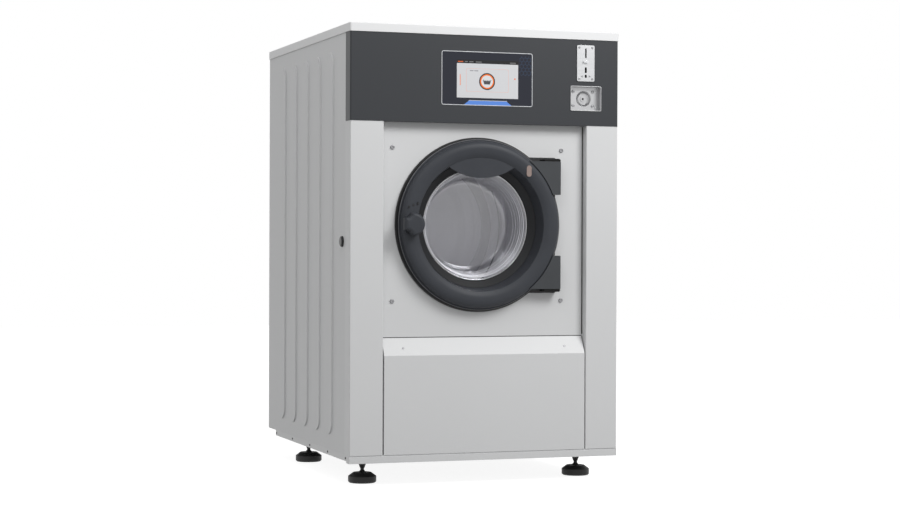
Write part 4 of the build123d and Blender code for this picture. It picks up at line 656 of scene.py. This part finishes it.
# Gasket: a pale grey rubber ring that closes the gap from the tub to the door, with four beads
# moulded round the face that the glass presses on.
gasket_rubber = moulded(
    "gasket_rubber", rgb(0.6, 0.6, 0.63), roughness=0.35, texture=700.0, depth=0.0001, sheen=0.05)
dress(gasket_rubber, "tub_gasket")
gasket_beads = (
    (0.1915, -0.4462, 0.0018), (0.1955, -0.4466, 0.0014), (0.1995, -0.4466, 0.0014),
    (0.2035, -0.4463, 0.0016))
built = bmesh.new()
for radius, y, thickness in gasket_beads:
    run_round(built, bead(radius, y, thickness), door_axis, "y")
piece("gasket_ribs", built, gasket_rubber, "tub")

# Bowl rings: shallow steps pressed round the side of the glass bowl. Their opaque, near-white
# glass is a painted reflection: it draws the fine bright arcs that the bowl's curved side shows.
arc_tone_scale = 30.0
# Opaque near-white glass with a little random tone: painted reflection on the bowl's steps.
shader = new_finish("arc_reflection_glass")
arc_tone = shader.noise(arc_tone_scale, 2.0)
arc_reflection_glass = shader.close({
    "Base Color": shader.blended(arc_tone, rgb(0.8, 0.8, 0.86), rgb(0.95, 0.95, 1.0)),
    "Roughness": arc_tone * 0.1 + 0.12, "Metallic": 0.1})
bowl_steps = (
    (0.1714, -0.4690, 0.0016), (0.1691, -0.4600, 0.0012), (0.1667, -0.4505, 0.0020),
    (0.1637, -0.4390, 0.0011), (0.1603, -0.4260, 0.0014), (0.1560, -0.4120, 0.0010))
step_corners, step_facets = 8, 128
built = bmesh.new()
for radius, y, thickness in bowl_steps:
    step = bead(radius, y, thickness, step_corners)
    run_round(built, step, door_axis, "y", step_facets)
piece("bowl_rings", built, arc_reflection_glass, "door")

# Glass seat: a thin polished ring round the edge of the glass. It stands in for the highlight of
# the glass's rounded edge: a painted highlight, a fine bright line all round the window.
# The ring paints the glass edge's highlight.
seat_radius, seat_y, seat_thickness = 0.1785, -0.4778, 0.0011
seat_facets = 160
built = bmesh.new()
run_round(built, bead(seat_radius, seat_y, seat_thickness), door_axis, "y", seat_facets)
piece("glass_edge_highlight", built, polished, "door")

# Flange lip: a thin grey bead round the edge of the ring's back flange, lighter than the ring: a
# painted highlight on that edge, where it shows as a fine line at the left of the door.
# Grey, lighter than the ring: painted highlight on the flange's edge.
lip_highlight_grey = moulded("lip_highlight_grey", rgb(0.16, 0.16, 0.165), roughness=0.4, texture=900.0, depth=0.00002)
lip_radius, lip_y, lip_thickness = 0.2758, -0.5190, 0.0008
lip_facets = 180
built = bmesh.new()
run_round(built, bead(lip_radius, lip_y, lip_thickness), door_axis, "y", lip_facets)
piece("flange_lip", built, lip_highlight_grey, "door")

# Cover seam: a near-black strip laid in the joint between the door panel and the slanted band of
# the lower cover, from one post to the other: painted shade for the gap there.
# Near black: painted shade in the gaps at the door panel's edges.
gap_shade_black = moulded(
    "gap_shade_black", rgb(0.02, 0.02, 0.02), roughness=0.6, texture=700.0, depth=0.00005)
seam_half = 0.3445
seam_spans = 23
seam_section = [
    (-0.4999, 0.4728), (-0.5006, 0.4731), (-0.5009, 0.4740), (-0.5006, 0.4749), (-0.4999, 0.4752)]
built = bmesh.new()
run_strip(built, [
    [(seam_half * (2.0 * step / seam_spans - 1.0), y, z) for y, z in seam_section]
    for step in range(seam_spans + 1)], True)
piece("cover_gap_shade", built, gap_shade_black, "cabinet")

# Panel joint: a near-black strip in the upright joint between the door panel and the return of
# the right post, from the cover to the header: painted shade for the gap there.
# The strip is painted shade in the gap beside the right post.
joint_heights = (0.478, 0.6, 0.8, 1.0, 1.163)
joint_section = [
    (0.3449, -0.4996), (0.3451, -0.5006), (0.3467, -0.5010), (0.3483, -0.5006), (0.3486, -0.4996)]
built = bmesh.new()
run_strip(built, [[(x, y, z) for x, y in joint_section] for z in joint_heights], True)
piece("panel_gap_shade", built, gap_shade_black, "cabinet")

# Lock marks: three small padlock signs printed in black on the ring above the knob, each a body
# with a shackle of three bars.
mark_plastic = moulded(
    "mark_plastic", rgb(0.006, 0.006, 0.007), roughness=0.4, texture=1200.0, depth=0.00001)
mark_front_y, mark_rear_y = -0.5464, -0.5448
mark_places = ((-0.269, 0.8916), (-0.254, 0.898), (-0.239, 0.903))
padlock_bars = (
    (0.0, -0.0012, 0.0030, 0.0022), (-0.0021, 0.0022, 0.0005, 0.0014),
    (0.0021, 0.0022, 0.0005, 0.0014), (0.0, 0.0040, 0.0024, 0.0005))
for index, (x, z) in enumerate(mark_places):
    built = bmesh.new()
    for shift_x, shift_z, half_wide, half_tall in padlock_bars:
        plate(built, [
            (x + shift_x + side * half_wide, z + shift_z + rise * half_tall)
            for side, rise in ((-1, -1), (1, -1), (1, 1), (-1, 1))], mark_front_y, mark_rear_y)
    piece(f"lock_mark_{index + 1}", built, mark_plastic, "door")


# Drive: the spider and the motor's housing are sand-cast aluminium, the tub's back and the pulley
# grey iron, and the bearings, the rotor and the damper rods bright steel. The belt and the hoses
# are black rubber, and the springs and dampers are coated black.
def cast(name, colour, roughness, metallic):
    sand_scale, sand_depth, cloud_scale = 420.0, 0.0003, 9.0
    unevenness = 0.2
    edge_radius = 0.001
    shader = new_finish(name)
    sand = shader.noise(sand_scale, 4.0)
    clouds = shader.noise(cloud_scale, 3.0)
    return shader.close({
        "Base Color": shader.blended(clouds, toned(colour, 0.7), colour), "Metallic": metallic,
        "Roughness": sand * unevenness + (roughness - 0.5 * unevenness),
        "Normal": shader.bumped(sand, sand_depth, shader.eased_edges(edge_radius))})


cast_aluminium = cast("cast_aluminium", rgb(0.5, 0.51, 0.52), roughness=0.45, metallic=0.9)
cast_iron = cast("cast_iron", rgb(0.13, 0.13, 0.14), roughness=0.5, metallic=0.7)
dress(cast_aluminium, "drum_spider", "motor_body")
dress(cast_iron, "tub_back", "drum_pulley")
dress(polished, "shaft_bearings", "motor_rotor", "damper_rods")
hose_rubber = moulded(
    "hose_rubber", rgb(0.015, 0.015, 0.015), roughness=0.5, texture=700.0, depth=0.0001, sheen=0.05)
dress(hose_rubber, "drain_hose", "fill_hose", "drive_belt")
dress(black_steel, "springs", "damper_cylinders")


# Floor: a plain white sweep that keeps a soft shadow of the machine. The white of the background is
# in the floor's own colour and in the world behind it.
def backdrop_rays(shader):
    """1 for what the camera, glass and metal see directly, 0 for the light that bounces."""
    camera = shader.node("LightPath", output="Is Camera Ray")
    glossy = shader.node("LightPath", output="Is Glossy Ray")
    through = shader.node("LightPath", output="Is Transmission Ray")
    return camera | glossy | through


floor_half = 12.0
floor_grey = 0.34
floor_glow = 0.9
floor_mesh = bpy.data.meshes.new("floor")
floor_mesh.from_pydata(
    [(-floor_half, -floor_half, 0.0), (floor_half, -floor_half, 0.0),
     (floor_half, floor_half, 0.0), (-floor_half, floor_half, 0.0)], [], [(0, 1, 2, 3)])
floor = bpy.data.objects.new("floor", floor_mesh)
bpy.context.scene.collection.objects.link(floor)
shader = new_finish("white_floor")
paper = shader.node("BsdfDiffuse", inputs={"Color": rgb(floor_grey, floor_grey, floor_grey)})
glow = shader.node("Emission", inputs={
    "Color": rgb(1.0, 1.0, 1.0), "Strength": backdrop_rays(shader) * floor_glow})
both = shader.node("AddShader", inputs={0: paper, 1: glow})
shader.node("OutputMaterial", inputs={"Surface": both})
floor_mesh.materials.append(shader.owner)

# Studio: an even pale surround, one wide soft lamp high in front on the right, which leaves the
# left side of the cabinet in half light, and a weak one on the left.
surround = 0.58
world = bpy.data.worlds.new("studio")
bpy.context.scene.world = world
shader = Shader(world)
level = backdrop_rays(shader) * (1.0 - surround) + surround
backing = shader.node("Background", inputs={"Color": rgb(1.0, 1.0, 1.0), "Strength": level})
shader.node("OutputWorld", inputs={"Surface": backing})


def soft_lamp(name, at, aim, width, power):
    lamp = bpy.data.lights.new(name, "AREA")
    lamp.size = width
    lamp.energy = power
    holder = bpy.data.objects.new(name, lamp)
    bpy.context.scene.collection.objects.link(holder)
    holder.location = at
    holder.rotation_euler = (Vector(aim) - Vector(at)).to_track_quat("-Z", "Y").to_euler()


soft_lamp("key_lamp", at=(1.7, -3.0, 3.3), aim=(0.0, -0.5, 1.2), width=1.6, power=90.0)
soft_lamp("left_fill", at=(-1.0, -2.0, 2.6), aim=(-0.1, -0.5, 1.3), width=0.8, power=8.0)

# Camera: about level with the middle of the machine and 19 degrees round to its left, with a long
# lens, which keeps the uprights nearly parallel.
camera_at = Vector((-2.2213, -6.6127, 0.7681))
lens_length, frame_width = 79.99, 36.0
turn = math.radians(19.015)
tilt = math.radians(-0.202)
roll = math.radians(-0.207)
ahead = Vector((
    math.sin(turn) * math.cos(tilt), math.cos(turn) * math.cos(tilt), math.sin(tilt)))
level_right = Vector((math.cos(turn), -math.sin(turn), 0.0))
level_down = ahead.cross(level_right)
right = math.cos(roll) * level_right + math.sin(roll) * level_down
down = -math.sin(roll) * level_right + math.cos(roll) * level_down
lens = bpy.data.cameras.new("camera")
lens.lens = lens_length
lens.sensor_width = frame_width
camera = bpy.data.objects.new("camera", lens)
facing = Matrix((right, -down, -ahead)).transposed().to_4x4()
camera.matrix_world = Matrix.Translation(camera_at) @ facing
bpy.context.scene.collection.objects.link(camera)
bpy.context.scene.camera = camera
bpy.context.scene.view_settings.view_transform = "Standard"
